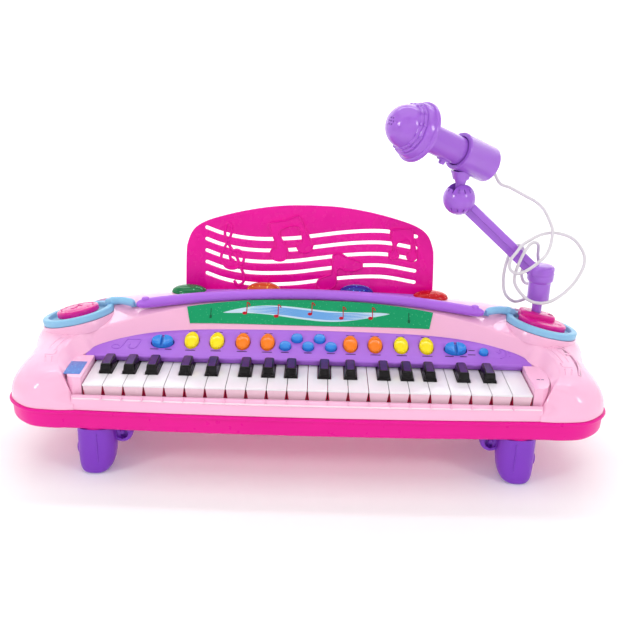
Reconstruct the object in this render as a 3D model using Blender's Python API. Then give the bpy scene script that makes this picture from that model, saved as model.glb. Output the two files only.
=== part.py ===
"""A toy electronic keyboard with 37 keys, a music stand and a microphone on a swivelling arm.

Shapes are drawn in millimetres in a drawing frame: +X to the player's right, +Y away from the
player, +Z up, zero at the middle of the white keys' front top edge. DATUM moves them to the
object's own frame, whose zero is on the floor under the middle of the object's box.
"""

import math

import bmesh
import bpy
import numpy as np
from mathutils import Matrix, Vector

# ---------------------------------------------------------------- driving dimensions (mm)
MM = 0.001
DATUM = Vector((0.0, -68.5, 79.0))
GAP = 0.3

KEY_PITCH = 16.5
WHITE_KEYS = 22
BLACK_AFTER = (1, 2, 3, 5, 6, 8, 9, 10, 12, 13, 15, 16, 17, 19, 20)
BLACK_SPREAD = (-2.8, 2.4)
KEY_ROW = KEY_PITCH * WHITE_KEYS
KEY_GAP = 0.5
KEY_LENGTH = 70.0
WHITE_FRONT_DROP = 10.0
WHITE_REAR_DROP = 6.0
BLACK_FRONT = 22.0
BLACK_REAR = 45.8
BLACK_BASE_WIDTH = 10.4
BLACK_TOP_WIDTH = 8.0
BLACK_HEIGHT = 7.5

SKIN = 2.4
RIM_Z = -19.0
TRAY_FLOOR_Z = -37.0
FLOOR_Z = -79.0
CHEEK_Z = 5.5
CHEEK_X = KEY_ROW / 2 + 1.8

PANEL_FRONT_Y = 47.0
PANEL_FRONT_Z = 5.2
PANEL_SLOPE = math.radians(20.0)
PANEL_SKIN = 2.3
BUTTON_ROW_V = 19.2
EGG_X = (36.0, 57.5, 80.0, 102.0)
ROUND_BUTTONS = ((-20.5, 16.5), (-10.6, 26.6), (-0.7, 16.5), (9.2, 26.6), (19.1, 16.5))
ROCKER_X = 127.0
POWER_X = 151.0
POWER_V = 15.0

DISC_X = 207.0
DISC_Y = 93.0
DISC_Z = 28.0
DISC_ROLL = math.radians(12.0)
DISC_PITCH = math.radians(5.5)
RING_OUTER = 31.5
RING_INNER = 26.0
RING_HEIGHT = 6.0
DISH_FLOOR = 1.5
DRUM_RADIUS = 18.5
SOCKET_RADIUS = 21.0

BAR_HALF = 154.0
DOME_X = (-112.0, -43.5, 42.0, 110.5)
DOME_Y = 126.5
LENS_BASE_Z = 38.7

STAND_Y = 140.0
STAND_BASE_Z = 36.0
STAND_LEAN = math.radians(7.0)
STAND_THICK = 3.0

POST = Vector((203.6, 104.0, 0.0))
POST_FOOT_Z = 28.0
CUFF_BOTTOM_Z = 45.7
CUFF_TOP_Z = 62.5
CAP_TOP_Z = 78.5
BALL = Vector((126.0, 104.0, 135.5))
BALL_RADIUS = 13.5
TONGUE_RADIUS = 5.0
TONGUE_HALF = 4.6
MIC_TAIL_DIR = Vector((0.815, 0.43, -0.39)).normalized()
CLIP_AXIS_POINT = BALL + Vector((1.0, 0.0, 39.0))
CLIP_FRONT = -7.3
CLIP_REAR = 29.2
CLIP_OUTER = 16.0
MIC_RADIUS = 12.0
MIC_FLANGE = -51.7

# ---------------------------------------------------------------- materials
COLOURS = {
    "pink": ((1.0, 0.58, 0.78), 0.32),
    "magenta": ((0.95, 0.03, 0.38), 0.30),
    "purple": ((0.42, 0.18, 0.72), 0.30),
    "leg_purple": ((0.28, 0.07, 0.58), 0.35),
    "sky_blue": ((0.30, 0.60, 0.85), 0.35),
    "button_blue": ((0.05, 0.30, 0.80), 0.25),
    "yellow": ((1.0, 0.75, 0.02), 0.25),
    "orange": ((1.0, 0.25, 0.01), 0.25),
    "key_white": ((0.93, 0.92, 0.93), 0.18),
    "key_black": ((0.02, 0.012, 0.015), 0.20),
    "lens": ((0.1, 0.5, 0.25), 0.15),
    "board_green": ((0.02, 0.20, 0.08), 0.45),
    "cord_white": ((0.85, 0.82, 0.84), 0.45),
}


def material(name):
    """The named Principled material, made on first use."""
    found = bpy.data.materials.get(name)
    if found:
        return found
    colour, roughness = COLOURS[name]
    made = bpy.data.materials.new(name)
    made.use_nodes = True
    made.diffuse_color = (*colour, 1.0)
    shader = made.node_tree.nodes["Principled BSDF"]
    shader.inputs["Base Color"].default_value = (*colour, 1.0)
    shader.inputs["Roughness"].default_value = roughness
    return made


# ---------------------------------------------------------------- mesh helpers
def place(name, bm, finish, pivot=(0.0, 0.0, 0.0), smooth=None):
    """Turns a bmesh drawn in mm into an object in metres whose origin is at the pivot."""
    bmesh.ops.triangulate(bm, faces=bm.faces)
    bmesh.ops.recalc_face_normals(bm, faces=bm.faces)
    pivot = Vector(pivot)
    for vert in bm.verts:
        vert.co = (vert.co - pivot) * MM
    mesh = bpy.data.meshes.new(name)
    bm.to_mesh(mesh)
    bm.free()
    if smooth is not None:
        mesh.shade_smooth()
        mesh.set_sharp_from_angle(angle=math.radians(smooth))
    mesh.materials.append(material(finish))
    made = bpy.data.objects.new(name, mesh)
    made.location = (pivot + DATUM) * MM
    bpy.context.scene.collection.objects.link(made)
    return made


def cutter(name, bm, pivot=(0.0, 0.0, 0.0)):
    """A helper solid for a Boolean: it isn't a piece of the object."""
    made = place(name, bm, "pink", pivot)
    made.hide_render = True
    made.display_type = "WIRE"
    return made


def combine(target, other, operation):
    """A Boolean modifier on target: UNION or DIFFERENCE with the helper."""
    modifier = target.modifiers.new(f"{operation.lower()} {other.name}", "BOOLEAN")
    modifier.operation = operation
    modifier.object = other


def loft(loops, closed_path=False, caps=True):
    """A skin over loops that all have the same number of points, with flat ends."""
    bm = bmesh.new()
    rings = [[bm.verts.new(point) for point in loop] for loop in loops]
    count = len(rings[0])
    pairs = list(zip(rings, rings[1:]))
    if closed_path:
        pairs.append((rings[-1], rings[0]))
    for first, second in pairs:
        for i in range(count):
            j = (i + 1) % count
            bm.faces.new((first[i], first[j], second[j], second[i]))
    if caps and not closed_path:
        bm.faces.new(rings[0][::-1])
        bm.faces.new(rings[-1])
    return bm


def prism(outline, low, high):
    """An outline in XY drawn up from low to high."""
    return loft([[(x, y, low) for x, y in outline], [(x, y, high) for x, y in outline]])


def side_prism(outline, left, right):
    """An outline in YZ drawn along X from left to right."""
    return loft([[(left, y, z) for y, z in outline], [(right, y, z) for y, z in outline]])


def box(low, high):
    return prism([(low[0], low[1]), (high[0], low[1]), (high[0], high[1]), (low[0], high[1])], low[2], high[2])


def circle(radius, count, phase=0.0):
    turns = [phase + 2 * math.pi * i / count for i in range(count)]
    return [(radius * math.cos(turn), radius * math.sin(turn)) for turn in turns]


def turned(profile, count, matrix=None):
    """A solid turned about Z from (radius, z) points that run along its outside, ends capped."""
    bm = loft([[(x, y, z) for x, y in circle(radius, count)] for radius, z in profile])
    if matrix is not None:
        bm.transform(matrix)
    return bm


def axis_matrix(point, direction):
    """Takes +Z to the direction and zero to the point."""
    return Matrix.Translation(point) @ Vector(direction).to_track_quat("Z", "Y").to_matrix().to_4x4()


def smooth_curve(points, count):
    """Points at even steps of the parameter along a Catmull-Rom curve through the given rows."""
    rows = np.array(points, float)
    rows = np.vstack([2 * rows[0] - rows[1], rows, 2 * rows[-1] - rows[-2]])
    found = []
    for step in np.linspace(0, len(points) - 1, count):
        i = min(int(step), len(points) - 2)
        t = step - i
        a, b, c, d = rows[i : i + 4]
        found.append(
            0.5 * (2 * b + (c - a) * t + (2 * a - 5 * b + 4 * c - d) * t * t + (3 * b - a - 3 * c + d) * t**3)
        )
    return np.array(found)


def even_curve(points, count):
    """Points at even distances along the same curve."""
    fine = smooth_curve(points, 40 * len(points))
    far = np.concatenate([[0], np.cumsum(np.linalg.norm(np.diff(fine, axis=0), axis=1))])
    wanted = np.linspace(0, far[-1], count)
    return np.stack([np.interp(wanted, far, fine[:, k]) for k in range(fine.shape[1])], axis=1)


def swept(path, shape, up=(0.0, 0.0, 1.0)):
    """A tube whose section, given by shape(i) as (side, up) points, follows the path."""
    loops = []
    for i, point in enumerate(path):
        ahead = Vector(path[min(i + 1, len(path) - 1)]) - Vector(path[max(i - 1, 0)])
        ahead.normalize()
        side = ahead.cross(Vector(up)).normalized()
        top = side.cross(ahead)
        loops.append([Vector(point) + side * s + top * t for s, t in shape(i)])
    return loft(loops)


# ---------------------------------------------------------------- the housing's surface
# One row for each station from the front corner of the right cheek, round the side, to the
# middle of the back: the rim's plan point, the crest's point, the foot of the recess wall,
# the fullness of the bulge, its crown, and the skin.
STATIONS = (
    # rim x, y     crest x, y, z          foot x, y, z          full  crown skin
    (187.0, -9.0, 187.5, -6.5, -14.0, 186.0, -5.0, -16.0, 2.2, 0.0, 0.8),
    (204.0, -9.5, 191.5, 0.0, -7.0, 189.5, 1.0, -11.0, 2.2, 0.0, 1.2),
    (226.0, -5.5, 198.0, 4.5, 6.0, 196.0, 6.0, 1.0, 2.2, 0.0, 2.0),
    (243.0, 11.0, 205.0, 17.0, 9.5, 198.5, 17.0, 5.1, 2.3, 0.0, 2.4),
    (246.0, 30.0, 207.0, 31.0, 12.5, 198.5, 31.0, 5.0, 2.4, 0.0, 2.4),
    (243.0, 50.0, 205.5, 45.0, 15.0, 196.5, 42.0, 5.1, 2.6, 0.0, 2.4),
    (242.0, 68.0, 201.0, 55.0, 17.0, 190.5, 49.0, 5.9, 3.0, 1.0, 2.4),
    (244.0, 88.0, 190.0, 64.5, 20.0, 184.0, 58.0, 9.2, 3.8, 3.0, 2.4),
    (238.0, 112.0, 172.5, 73.0, 23.5, 168.0, 66.5, 12.3, 4.5, 4.0, 2.4),
    (212.0, 132.0, 141.0, 86.3, 28.8, 142.0, 75.0, 15.4, 4.5, 5.0, 2.4),
    (165.0, 145.0, 105.0, 94.0, 34.5, 106.0, 80.5, 17.4, 5.0, 2.0, 2.4),
    (90.0, 149.0, 55.0, 100.5, 38.0, 55.0, 82.7, 18.2, 5.0, 0.0, 2.4),
    (0.0, 150.0, 0.0, 102.6, 38.7, 0.0, 83.6, 18.5, 5.0, 0.0, 2.4),
)
HALF_STATIONS = 19
BULGE_STEPS = 5
LEDGE_WIDTH = 2.4
PANEL_STEP = 2.9
PANEL_STATION = 6


def all_stations(half_count):
    """Stations from the right front corner round to the left front corner."""
    right = smooth_curve(STATIONS, half_count)
    left = right[-2::-1].copy()
    left[:, (0, 2, 5)] *= -1
    return np.vstack([right, left])


def section(station, steps):
    """The closed outline of the housing's shell at one station."""
    rim = np.array((station[0], station[1], RIM_Z + GAP))
    crest = station[2:5]
    foot = station[5:8]
    full, crown, skin = station[8:11]
    inward = np.array((crest[0] - rim[0], crest[1] - rim[1], 0.0))
    inward /= np.linalg.norm(inward)
    floorward = np.array((foot[0] - crest[0], foot[1] - crest[1], 0.0))
    floorward /= np.linalg.norm(floorward)
    drop = np.array((0.0, 0.0, 1.0))

    def bulge(low, high, lift):
        points = []
        for k in range(steps + 1):
            turn = math.pi / 2 * k / steps
            along = 1 - math.cos(turn) ** (2 / full)
            up = math.sin(turn) ** (2 / full)
            point = low + (high - low) * along
            point[2] = low[2] + (high[2] - low[2]) * up + lift * 4 * along * (1 - along)
            points.append(point)
        return points

    step_down = PANEL_STEP * skin / SKIN
    under = step_down + 0.9 * skin
    ledge = floorward * LEDGE_WIDTH * skin / SKIN
    ledge += drop * ledge[1] * math.tan(PANEL_SLOPE)
    outer = bulge(rim, crest, crown)
    inner = bulge(rim + inward * skin, crest - floorward * 0.9 * skin - drop * skin, crown)
    wall = [
        foot,
        foot - drop * step_down,
        foot + ledge - drop * step_down,
        foot + ledge - drop * under,
        foot - floorward * skin - drop * under,
    ]
    points = outer + wall + inner[::-1]
    for point in points:
        point[2] = max(point[2], RIM_Z + GAP)
    return points


def rim_outline(inset, count):
    """The rim's closed outline, moved inwards, at even distances from the front middle."""
    side = [row[:2] for row in STATIONS]
    right = [(0.0, -13.0), (95.0, -12.0)] + side
    half = even_curve(right, count // 2 + 1)
    loop = np.vstack([half, (half[-2:0:-1]) * (-1, 1)])
    along = np.roll(loop, -1, axis=0) - np.roll(loop, 1, axis=0)
    along /= np.linalg.norm(along, axis=1)[:, None]
    return loop + np.stack([-along[:, 1], along[:, 0]], axis=1) * inset


# ---------------------------------------------------------------- housings
def upper_housing():
    loops = [section(station, BULGE_STEPS) for station in all_stations(HALF_STATIONS)]
    shell = place("upper_housing", loft(loops), "pink", smooth=35)
    lip_profile = [
        (-12.6, RIM_Z + 1.4 * GAP),
        (-11.8, -16.5),
        (-9.0, -11.8),
        (-5.6, -9.0),
        (-3.4, -8.0),
        (-2.3, -8.3),
        (-2.3, RIM_Z + 1.4 * GAP),
    ]
    back = lip_profile[-1][0]
    lip_loops = []
    for x in np.linspace(-189.0, 189.0, 13):
        shallow = 1 - 0.4 * (x / 189.0) ** 2
        lip_loops.append([(x, back + (y - back) * shallow, z) for y, z in lip_profile])
    lip = loft(lip_loops)
    combine(shell, cutter("front_lip", lip), "UNION")
    for side in (-1, 1):
        block = prism([(side * x, y) for x, y in cheek_outline()], RIM_Z + 1.7 * GAP, CHEEK_Z)
        combine(shell, cutter(f"cheek_block_{side}", block), "UNION")
        hollow = prism([(side * x, y) for x, y in cheek_hollow()], RIM_Z - 5, CHEEK_Z - SKIN)
        combine(shell, cutter(f"cheek_hollow_{side}", hollow), "DIFFERENCE")
        seat = turned([(RING_OUTER + 1, -RING_HEIGHT - 9), (RING_OUTER + 1, -RING_HEIGHT)], 24)
        combine(shell, cutter(f"ring_seat_{side}", transformed(seat, disc_matrix(side))), "UNION")
        pocket = turned([(RING_OUTER + GAP, -RING_HEIGHT - GAP), (RING_OUTER + GAP, 12.0)], 24)
        combine(shell, cutter(f"ring_pocket_{side}", transformed(pocket, disc_matrix(side))), "DIFFERENCE")
    slot = box((-93.5, -14.0, -0.5), (93.5, 30.0, STAND_THICK + 0.5))
    combine(shell, cutter("stand_slot", transformed(slot, stand_matrix())), "DIFFERENCE")


def cheek_outline():
    return ((CHEEK_X, 0.5), (199.0, 0.5), (201.5, 20.0), (201.5, 38.0), (196.0, 46.6), (CHEEK_X, 46.6))


def cheek_hollow():
    return ((CHEEK_X + 2.2, 2.7), (197.0, 2.7), (199.0, 20.0), (199.0, 34.0), (194.0, 44.0), (CHEEK_X + 2.2, 44.0))


def disc_matrix(side):
    """Takes a shape drawn about Z, with zero at the ring's top, to the left or right disc."""
    tilt = Matrix.Rotation(side * DISC_ROLL, 4, "Y") @ Matrix.Rotation(-DISC_PITCH, 4, "X")
    return Matrix.Translation((side * DISC_X, DISC_Y, DISC_Z)) @ tilt


def lower_housing():
    rows = (
        # inset from the rim's outline, height: down the outside, then up the inside
        (-3.0, RIM_Z),
        (-3.2, RIM_Z - 2.2),
        (-2.6, RIM_Z - 3.6),
        (0.2, RIM_Z - 3.8),
        (1.6, TRAY_FLOOR_Z + 6.0),
        (4.0, TRAY_FLOOR_Z + 1.8),
        (8.5, TRAY_FLOOR_Z),
        (10.0, TRAY_FLOOR_Z + SKIN),
        (5.0, TRAY_FLOOR_Z + 4.6),
        (3.2, RIM_Z - 4.0),
        (2.6, RIM_Z),
    )
    loops = []
    for inset, height in rows:
        loops.append([(x, y, height) for x, y in rim_outline(inset, 52)])
    bm = bmesh.new()
    rings = [[bm.verts.new(point) for point in loop] for loop in loops]
    count = len(rings[0])
    for first, second in zip(rings, rings[1:] + rings[:1]):
        if first is rings[6]:
            continue
        for i in range(count):
            j = (i + 1) % count
            bm.faces.new((first[i], first[j], second[j], second[i]))
    bm.faces.new(rings[6])
    bm.faces.new(rings[7])
    tray = place("lower_housing", bm, "magenta", smooth=35)
    inside = TRAY_FLOOR_Z + SKIN - 0.5
    rails = {
        "hinge_rail": box((-KEY_ROW / 2, 62.0, inside), (KEY_ROW / 2, KEY_LENGTH, -WHITE_REAR_DROP - 1.9)),
        "stop_rail": box((-KEY_ROW / 2 - 1, 6.0, inside), (KEY_ROW / 2 + 1, 11.0, -15.6)),
    }
    for name, bm in rails.items():
        combine(tray, cutter(name, bm), "UNION")
    for side in (-1, 1):
        boss = turned([(19.0, TRAY_FLOOR_Z - 1.4), (19.0, TRAY_FLOOR_Z + 1.0)], 20)
        boss.transform(Matrix.Translation((side * 173.0, 6.0, 0.0)))
        combine(tray, cutter(f"leg_boss_{side}", boss), "UNION")
    hatch = box((-118.0, 84.0, TRAY_FLOOR_Z - 3), (-38.0, 132.0, inside + 3))
    combine(tray, cutter("battery_opening", hatch), "DIFFERENCE")


def battery_door():
    low = (-118.0 + GAP, 84.0 + GAP, TRAY_FLOOR_Z - 0.4)
    high = (-38.0 - GAP, 132.0 - GAP, TRAY_FLOOR_Z + 1.8)
    door = place("battery_door", box(low, high), "magenta")
    grip = box((-86.0, 88.0, TRAY_FLOOR_Z - 2), (-70.0, 91.0, TRAY_FLOOR_Z + 0.6))
    combine(door, cutter("door_grip", grip), "DIFFERENCE")


def circuit_board():
    board = place("circuit_board", box((-60.0, 16.0, -29.0), (110.0, 56.0, -27.4)), "board_green")
    parts = {
        "chip": box((10.0, 28.0, -27.8), (24.0, 42.0, -24.5)),
        "capacitor": turned([(4.0, -27.8), (4.0, -17.5)], 12, Matrix.Translation((60.0, 40.0, 0.0))),
        "speaker_magnet": turned([(12.0, -33.6), (12.0, -28.5)], 20, Matrix.Translation((88.0, 37.0, 0.0))),
        "speaker_cone": turned(
            [(12.0, -27.8), (21.0, -18.5), (23.0, -18.5), (23.0, -16.8)], 20, Matrix.Translation((88.0, 37.0, 0.0))
        ),
    }
    for name, bm in parts.items():
        combine(board, cutter(name, bm), "UNION")


# ---------------------------------------------------------------- legs
def leg(name, side):
    """One side's moulding: a front and a rear foot on a beam, with a knuckle on the inner side."""

    def foot(middle_y):
        levels = (
            # height, inner edge, outer edge, half depth
            (TRAY_FLOOR_Z - 1.4 - GAP, 157.0, 188.6, 14.0),
            (-58.0, 157.4, 188.6, 14.0),
            (-67.0, 159.0, 188.4, 13.8),
            (-74.0, 163.0, 187.4, 13.0),
            (-77.6, 168.0, 184.6, 11.0),
            (FLOOR_Z, 172.0, 181.0, 8.0),
        )
        loops = []
        for height, inner, outer, half in levels:
            middle = (inner + outer) / 2
            reach = (outer - inner) / 2
            loop = []
            for i in range(16):
                turn = 2 * math.pi * (i + 0.5) / 16
                c, s = math.cos(turn), math.sin(turn)
                x = middle + reach * math.copysign(abs(c) ** 0.75, c)
                y = middle_y + half * math.copysign(abs(s) ** 0.75, s)
                loop.append((side * x, y, height))
            loops.append(loop)
        return loft(loops)

    top = TRAY_FLOOR_Z - 1.4 - GAP
    made = place(name, foot(6.0), "leg_purple", smooth=40)
    combine(made, cutter(f"{name}_rear_foot", foot(112.0)), "UNION")
    beam = box((166.0, 10.0, top - 9.0), (180.0, 108.0, top - 0.4))
    knuckle = turned([(9.0, 0.0), (9.0, 17.0)], 16, axis_matrix((152.5, 4.0, top - 6.0), (0, 1, 0)))
    arm = box((150.0, 6.0, top - 12.0), (162.0, 19.0, top - 0.4))
    recess = turned([(5.0, -2.0), (5.0, 5.0)], 8, axis_matrix((152.5, 4.0, top - 7.0), (0, 1, 0)))
    trim = box((130.0, -20.0, top - 0.6), (165.0, 30.0, top + 20.0))
    steps = (
        ("beam", beam, "UNION"),
        ("knuckle", knuckle, "UNION"),
        ("arm", arm, "UNION"),
        ("recess", recess, "DIFFERENCE"),
        ("trim", trim, "DIFFERENCE"),
    )
    for part, bm, operation in steps:
        bm.transform(Matrix.Scale(side, 4, (1, 0, 0)))
        combine(made, cutter(f"{name}_{part}", bm), operation)


# ---------------------------------------------------------------- keys
def key_left(number):
    return -KEY_ROW / 2 + (number - 1) * KEY_PITCH


def black_middle(after):
    """The outer keys of each group of black keys stand a little apart from it."""
    first, last = after - 1 not in BLACK_AFTER, after + 1 not in BLACK_AFTER
    return key_left(after + 1) + (BLACK_SPREAD[0] if first else BLACK_SPREAD[1] if last else 0.0)


def white_key(number):
    left = key_left(number) + KEY_GAP / 2
    right = key_left(number + 1) - KEY_GAP / 2
    notch = BLACK_BASE_WIDTH / 2 + KEY_GAP
    outline = [(left, 0.0), (right, 0.0)]
    if number in BLACK_AFTER:
        shoulder = black_middle(number) - notch
        outline += [(right, BLACK_FRONT - KEY_GAP), (shoulder, BLACK_FRONT - KEY_GAP), (shoulder, KEY_LENGTH)]
    else:
        outline += [(right, KEY_LENGTH)]
    if number - 1 in BLACK_AFTER:
        shoulder = black_middle(number - 1) + notch
        outline += [(shoulder, KEY_LENGTH), (shoulder, BLACK_FRONT - KEY_GAP), (left, BLACK_FRONT - KEY_GAP)]
    else:
        outline += [(left, KEY_LENGTH)]
    middle = (left + right) / 2
    bottom = []
    for x, y in outline:
        draft, back = (1.2, 0.4) if y == 0.0 else (0.2, 0.0)
        # the depth goes by the drafted point, which keeps the underside flat
        deep = WHITE_FRONT_DROP + (WHITE_REAR_DROP - WHITE_FRONT_DROP) * (y + back) / KEY_LENGTH
        bottom.append((x + math.copysign(draft, middle - x), y + back, -deep))
    both_notched = len(outline) == 8
    bm = loft([[(x, y, 0.0) for x, y in outline], bottom], caps=not both_notched)
    if both_notched:
        # the shoulders of both notches lie on one line, so the head and the shank are capped by hand
        bm.verts.ensure_lookup_table()
        for ring in (bm.verts[:8], bm.verts[8:]):
            for a, b, c in ((0, 1, 2), (0, 2, 3), (0, 3, 6), (0, 6, 7), (3, 4, 5), (3, 5, 6)):
                bm.faces.new((ring[a], ring[b], ring[c]))
    place(f"white_key_{number:02d}", bm, "key_white", (middle, KEY_LENGTH, -WHITE_REAR_DROP))


def black_key(index, after):
    middle = black_middle(after)
    base = BLACK_BASE_WIDTH / 2
    top = BLACK_TOP_WIDTH / 2
    stem = -WHITE_REAR_DROP
    profiles = (
        # y, and the half widths and heights of the section there, from the bottom up
        (BLACK_FRONT, base, 2.0, base, 2.0),
        (BLACK_FRONT + 1.6, base, 2.0, top, BLACK_HEIGHT),
        (BLACK_REAR, base, 2.0, top, BLACK_HEIGHT),
        (BLACK_REAR + 0.1, base, 0.2, base, 0.2),
        (KEY_LENGTH, base, 0.2, base, 0.2),
    )
    loops = []
    for y, flank, flank_z, crown, crown_z in profiles:
        crown_low = crown_z if crown_z > flank_z else flank_z + 0.01
        half = crown if crown_z > flank_z else flank - 0.3
        loops.append(
            [
                (middle - flank, y, stem),
                (middle + flank, y, stem),
                (middle + flank, y, flank_z),
                (middle + half, y, crown_low),
                (middle - half, y, crown_low),
                (middle - flank, y, flank_z),
            ]
        )
    place(f"black_key_{index:02d}", loft(loops), "key_black", (middle, KEY_LENGTH, stem))


# ---------------------------------------------------------------- control panel and its buttons
def panel_matrix():
    """Takes (x, along the slope, out of the slope) to the drawing frame, zero on the panel's top."""
    return Matrix.Translation((0.0, PANEL_FRONT_Y, PANEL_FRONT_Z)) @ Matrix.Rotation(PANEL_SLOPE, 4, "X")


def panel_outline(inset):
    """The panel's plan on its own slope: a straight front, and the recess wall's foot as its back."""
    feet = all_stations(HALF_STATIONS)[:, 5:7]
    first = int(PANEL_STATION * (HALF_STATIONS - 1) / (len(STATIONS) - 1))
    back = feet[first : len(feet) - first] - (0.0, PANEL_FRONT_Y)
    back[:, 1] /= math.cos(PANEL_SLOPE)
    middle = np.array((0.0, 12.0))
    reach = np.linalg.norm(back - middle, axis=1)[:, None]
    back = middle + (back - middle) * (1 - inset / reach)
    corner = back[0][0]
    return [(-corner, 0.0), (corner, 0.0)] + [tuple(point) for point in back]


def capsule_outline(half_width, half_length, count, power=1.0):
    """An egg or superellipse outline centred on zero."""
    points = []
    for i in range(count):
        turn = 2 * math.pi * (i + 0.5) / count
        c, s = math.cos(turn), math.sin(turn)
        points.append(
            (half_width * math.copysign(abs(c) ** power, c), half_length * math.copysign(abs(s) ** power, s))
        )
    return points


def shifted(outline, x, y):
    return [(px + x, py + y) for px, py in outline]


def button_shapes():
    """Name, centre and outline of every button's visible cap, on the panel's slope."""
    shapes = []
    for x in EGG_X:
        finish = "orange" if x < 60 else "yellow"
        for side in (-1, 1):
            shapes.append((finish, side * x, BUTTON_ROW_V, capsule_outline(6.0, 8.0, 12)))
    for x, v in ROUND_BUTTONS:
        shapes.append(("blue", x, v, capsule_outline(5.0, 5.0, 12)))
    shapes.append(("power", POWER_X, POWER_V, capsule_outline(3.9, 3.9, 12)))
    for side in (-1, 1):
        shapes.append(("rocker", side * ROCKER_X, BUTTON_ROW_V - 1.0, capsule_outline(9.5, 7.0, 16)))
    return shapes


def control_panel():
    outline = panel_outline(0.5)
    upright = PANEL_SKIN * math.tan(PANEL_SLOPE)
    loops = [[(x, v - upright, -PANEL_SKIN) for x, v in outline], [(x, v, 0.0) for x, v in outline]]
    panel = place("control_panel", transformed(loft(loops), panel_matrix()), "purple", smooth=35)
    front = [(-0.4, -4.6), (1.6, -4.6), (1.6, -0.4), (-0.4, 0.5), (-1.2, -0.6)]
    rail = side_prism(front, -CHEEK_X + 1.2, CHEEK_X - 1.2)
    rail.transform(panel_matrix())
    combine(panel, cutter("panel_front_roll", rail), "UNION")
    for i, (_, x, v, outline) in enumerate(button_shapes()):
        grown = [(px * 1.07 + x, py * 1.06 + v) for px, py in outline]
        hole = prism(grown, -10.0, 5.0)
        hole.transform(panel_matrix())
        combine(panel, cutter(f"button_hole_{i:02d}", hole), "DIFFERENCE")


def cap(x, v, outline, height, bottom, dome):
    """A button cap with a domed top, down to the given depth below the panel's top."""
    levels = ((1.0, bottom), (1.0, height - dome), (0.86, height - 0.35 * dome), (0.55, height))
    return loft([[(px * s + x, py * s + v, z) for px, py in outline] for s, z in levels])


RUNNER_TOP = -PANEL_SKIN - 0.5
RUNNER_BOTTOM = RUNNER_TOP - 1.4


def button_group(name, kind, finish, height, carriers):
    """Caps of one colour joined by a runner, and its tabs, under the panel."""
    matrix = panel_matrix()
    made = place(name, transformed(carriers[0], matrix), finish, smooth=40)
    joined = list(carriers[1:])
    for _, x, v, outline in (shape for shape in button_shapes() if shape[0] == kind):
        joined.append(cap(x, v, outline, height, RUNNER_BOTTOM + 0.2, 2.0))
    for i, bm in enumerate(joined):
        combine(made, cutter(f"{name}_{i}", transformed(bm, matrix)), "UNION")


def transformed(bm, matrix):
    bm.transform(matrix)
    return bm


def tabs(columns, low, high):
    """Short bars that tie the caps in these columns, on both sides, to their runner."""
    found = []
    for x in columns:
        for side in (-1, 1):
            low_corner = (side * x - 3.0, low, RUNNER_BOTTOM + 0.1)
            found.append(box(low_corner, (side * x + 3.0, high, RUNNER_TOP - 0.1)))
    return found


def buttons():
    front_runner = box((-103.0, 7.6, RUNNER_BOTTOM), (103.0, 10.4, RUNNER_TOP))
    rear_runner = box((-58.5, 31.8, RUNNER_BOTTOM), (58.5, 33.2, RUNNER_TOP))
    web = box((-20.0, 19.0, RUNNER_BOTTOM), (18.6, 24.0, RUNNER_TOP))
    button_group("yellow_buttons", "yellow", "yellow", 5.0, [front_runner] + tabs(EGG_X[2:], 8.5, 16.0))
    button_group("orange_buttons", "orange", "orange", 5.0, [rear_runner] + tabs(EGG_X[:2], 22.0, 32.6))
    button_group("blue_buttons", "blue", "button_blue", 3.4, [web])
    power = [shape for shape in button_shapes() if shape[0] == "power"][0]
    bm = cap(power[1], power[2], power[3], 3.2, RUNNER_BOTTOM, 1.6)
    flange = prism(shifted(capsule_outline(5.2, 5.2, 12), power[1], power[2]), RUNNER_BOTTOM - 0.4, RUNNER_TOP)
    button = place("power_button", transformed(bm, panel_matrix()), "button_blue", smooth=40)
    combine(button, cutter("power_flange", transformed(flange, panel_matrix())), "UNION")


def rocker(name, side):
    """A round rocker, split down its middle, that tips to either side."""
    x = side * ROCKER_X
    v = BUTTON_ROW_V - 1.0
    matrix = panel_matrix()
    bm = cap(x, v, capsule_outline(9.3, 6.8, 20), 4.2, -3.0, 2.2)
    pivot = matrix @ Vector((x, v, -1.5))
    made = place(name, transformed(bm, matrix), "button_blue", pivot, smooth=40)
    groove = box((x - 0.9, v - 9.0, 0.6), (x + 0.9, v + 9.0, 8.0))
    combine(made, cutter(f"{name}_groove", transformed(groove, matrix)), "DIFFERENCE")


# ---------------------------------------------------------------- top bar, trim, lenses, stand
def ridge(x):
    """The middle of the bar's section above the ridge behind the recess."""
    return Vector((x, 108.0 - 0.00075 * x * x, 43.6 - 0.00031 * x * x))


def top_bar():
    count = 17
    xs = [-BAR_HALF * math.cos(math.pi * i / (count - 1)) for i in range(count)]
    path = [ridge(x) for x in xs]

    def shape(i):
        end = max(0.12, math.sqrt(max(0.0, 1 - (abs(xs[i]) / (BAR_HALF + 0.5)) ** 24)))
        return [(5.2 * end * c, 4.6 * end * s) for c, s in circle(1.0, 10, math.pi / 10)]

    bar = place("top_bar", swept(path, shape), "purple", smooth=40)
    for side in (-1, 1):
        bump = turned([(3.4, 0.0), (3.2, 5.0), (1.8, 6.0)], 12, Matrix.Translation(ridge(side * 146.0)))
        combine(bar, cutter(f"bar_bump_{side}", bump), "UNION")


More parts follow.
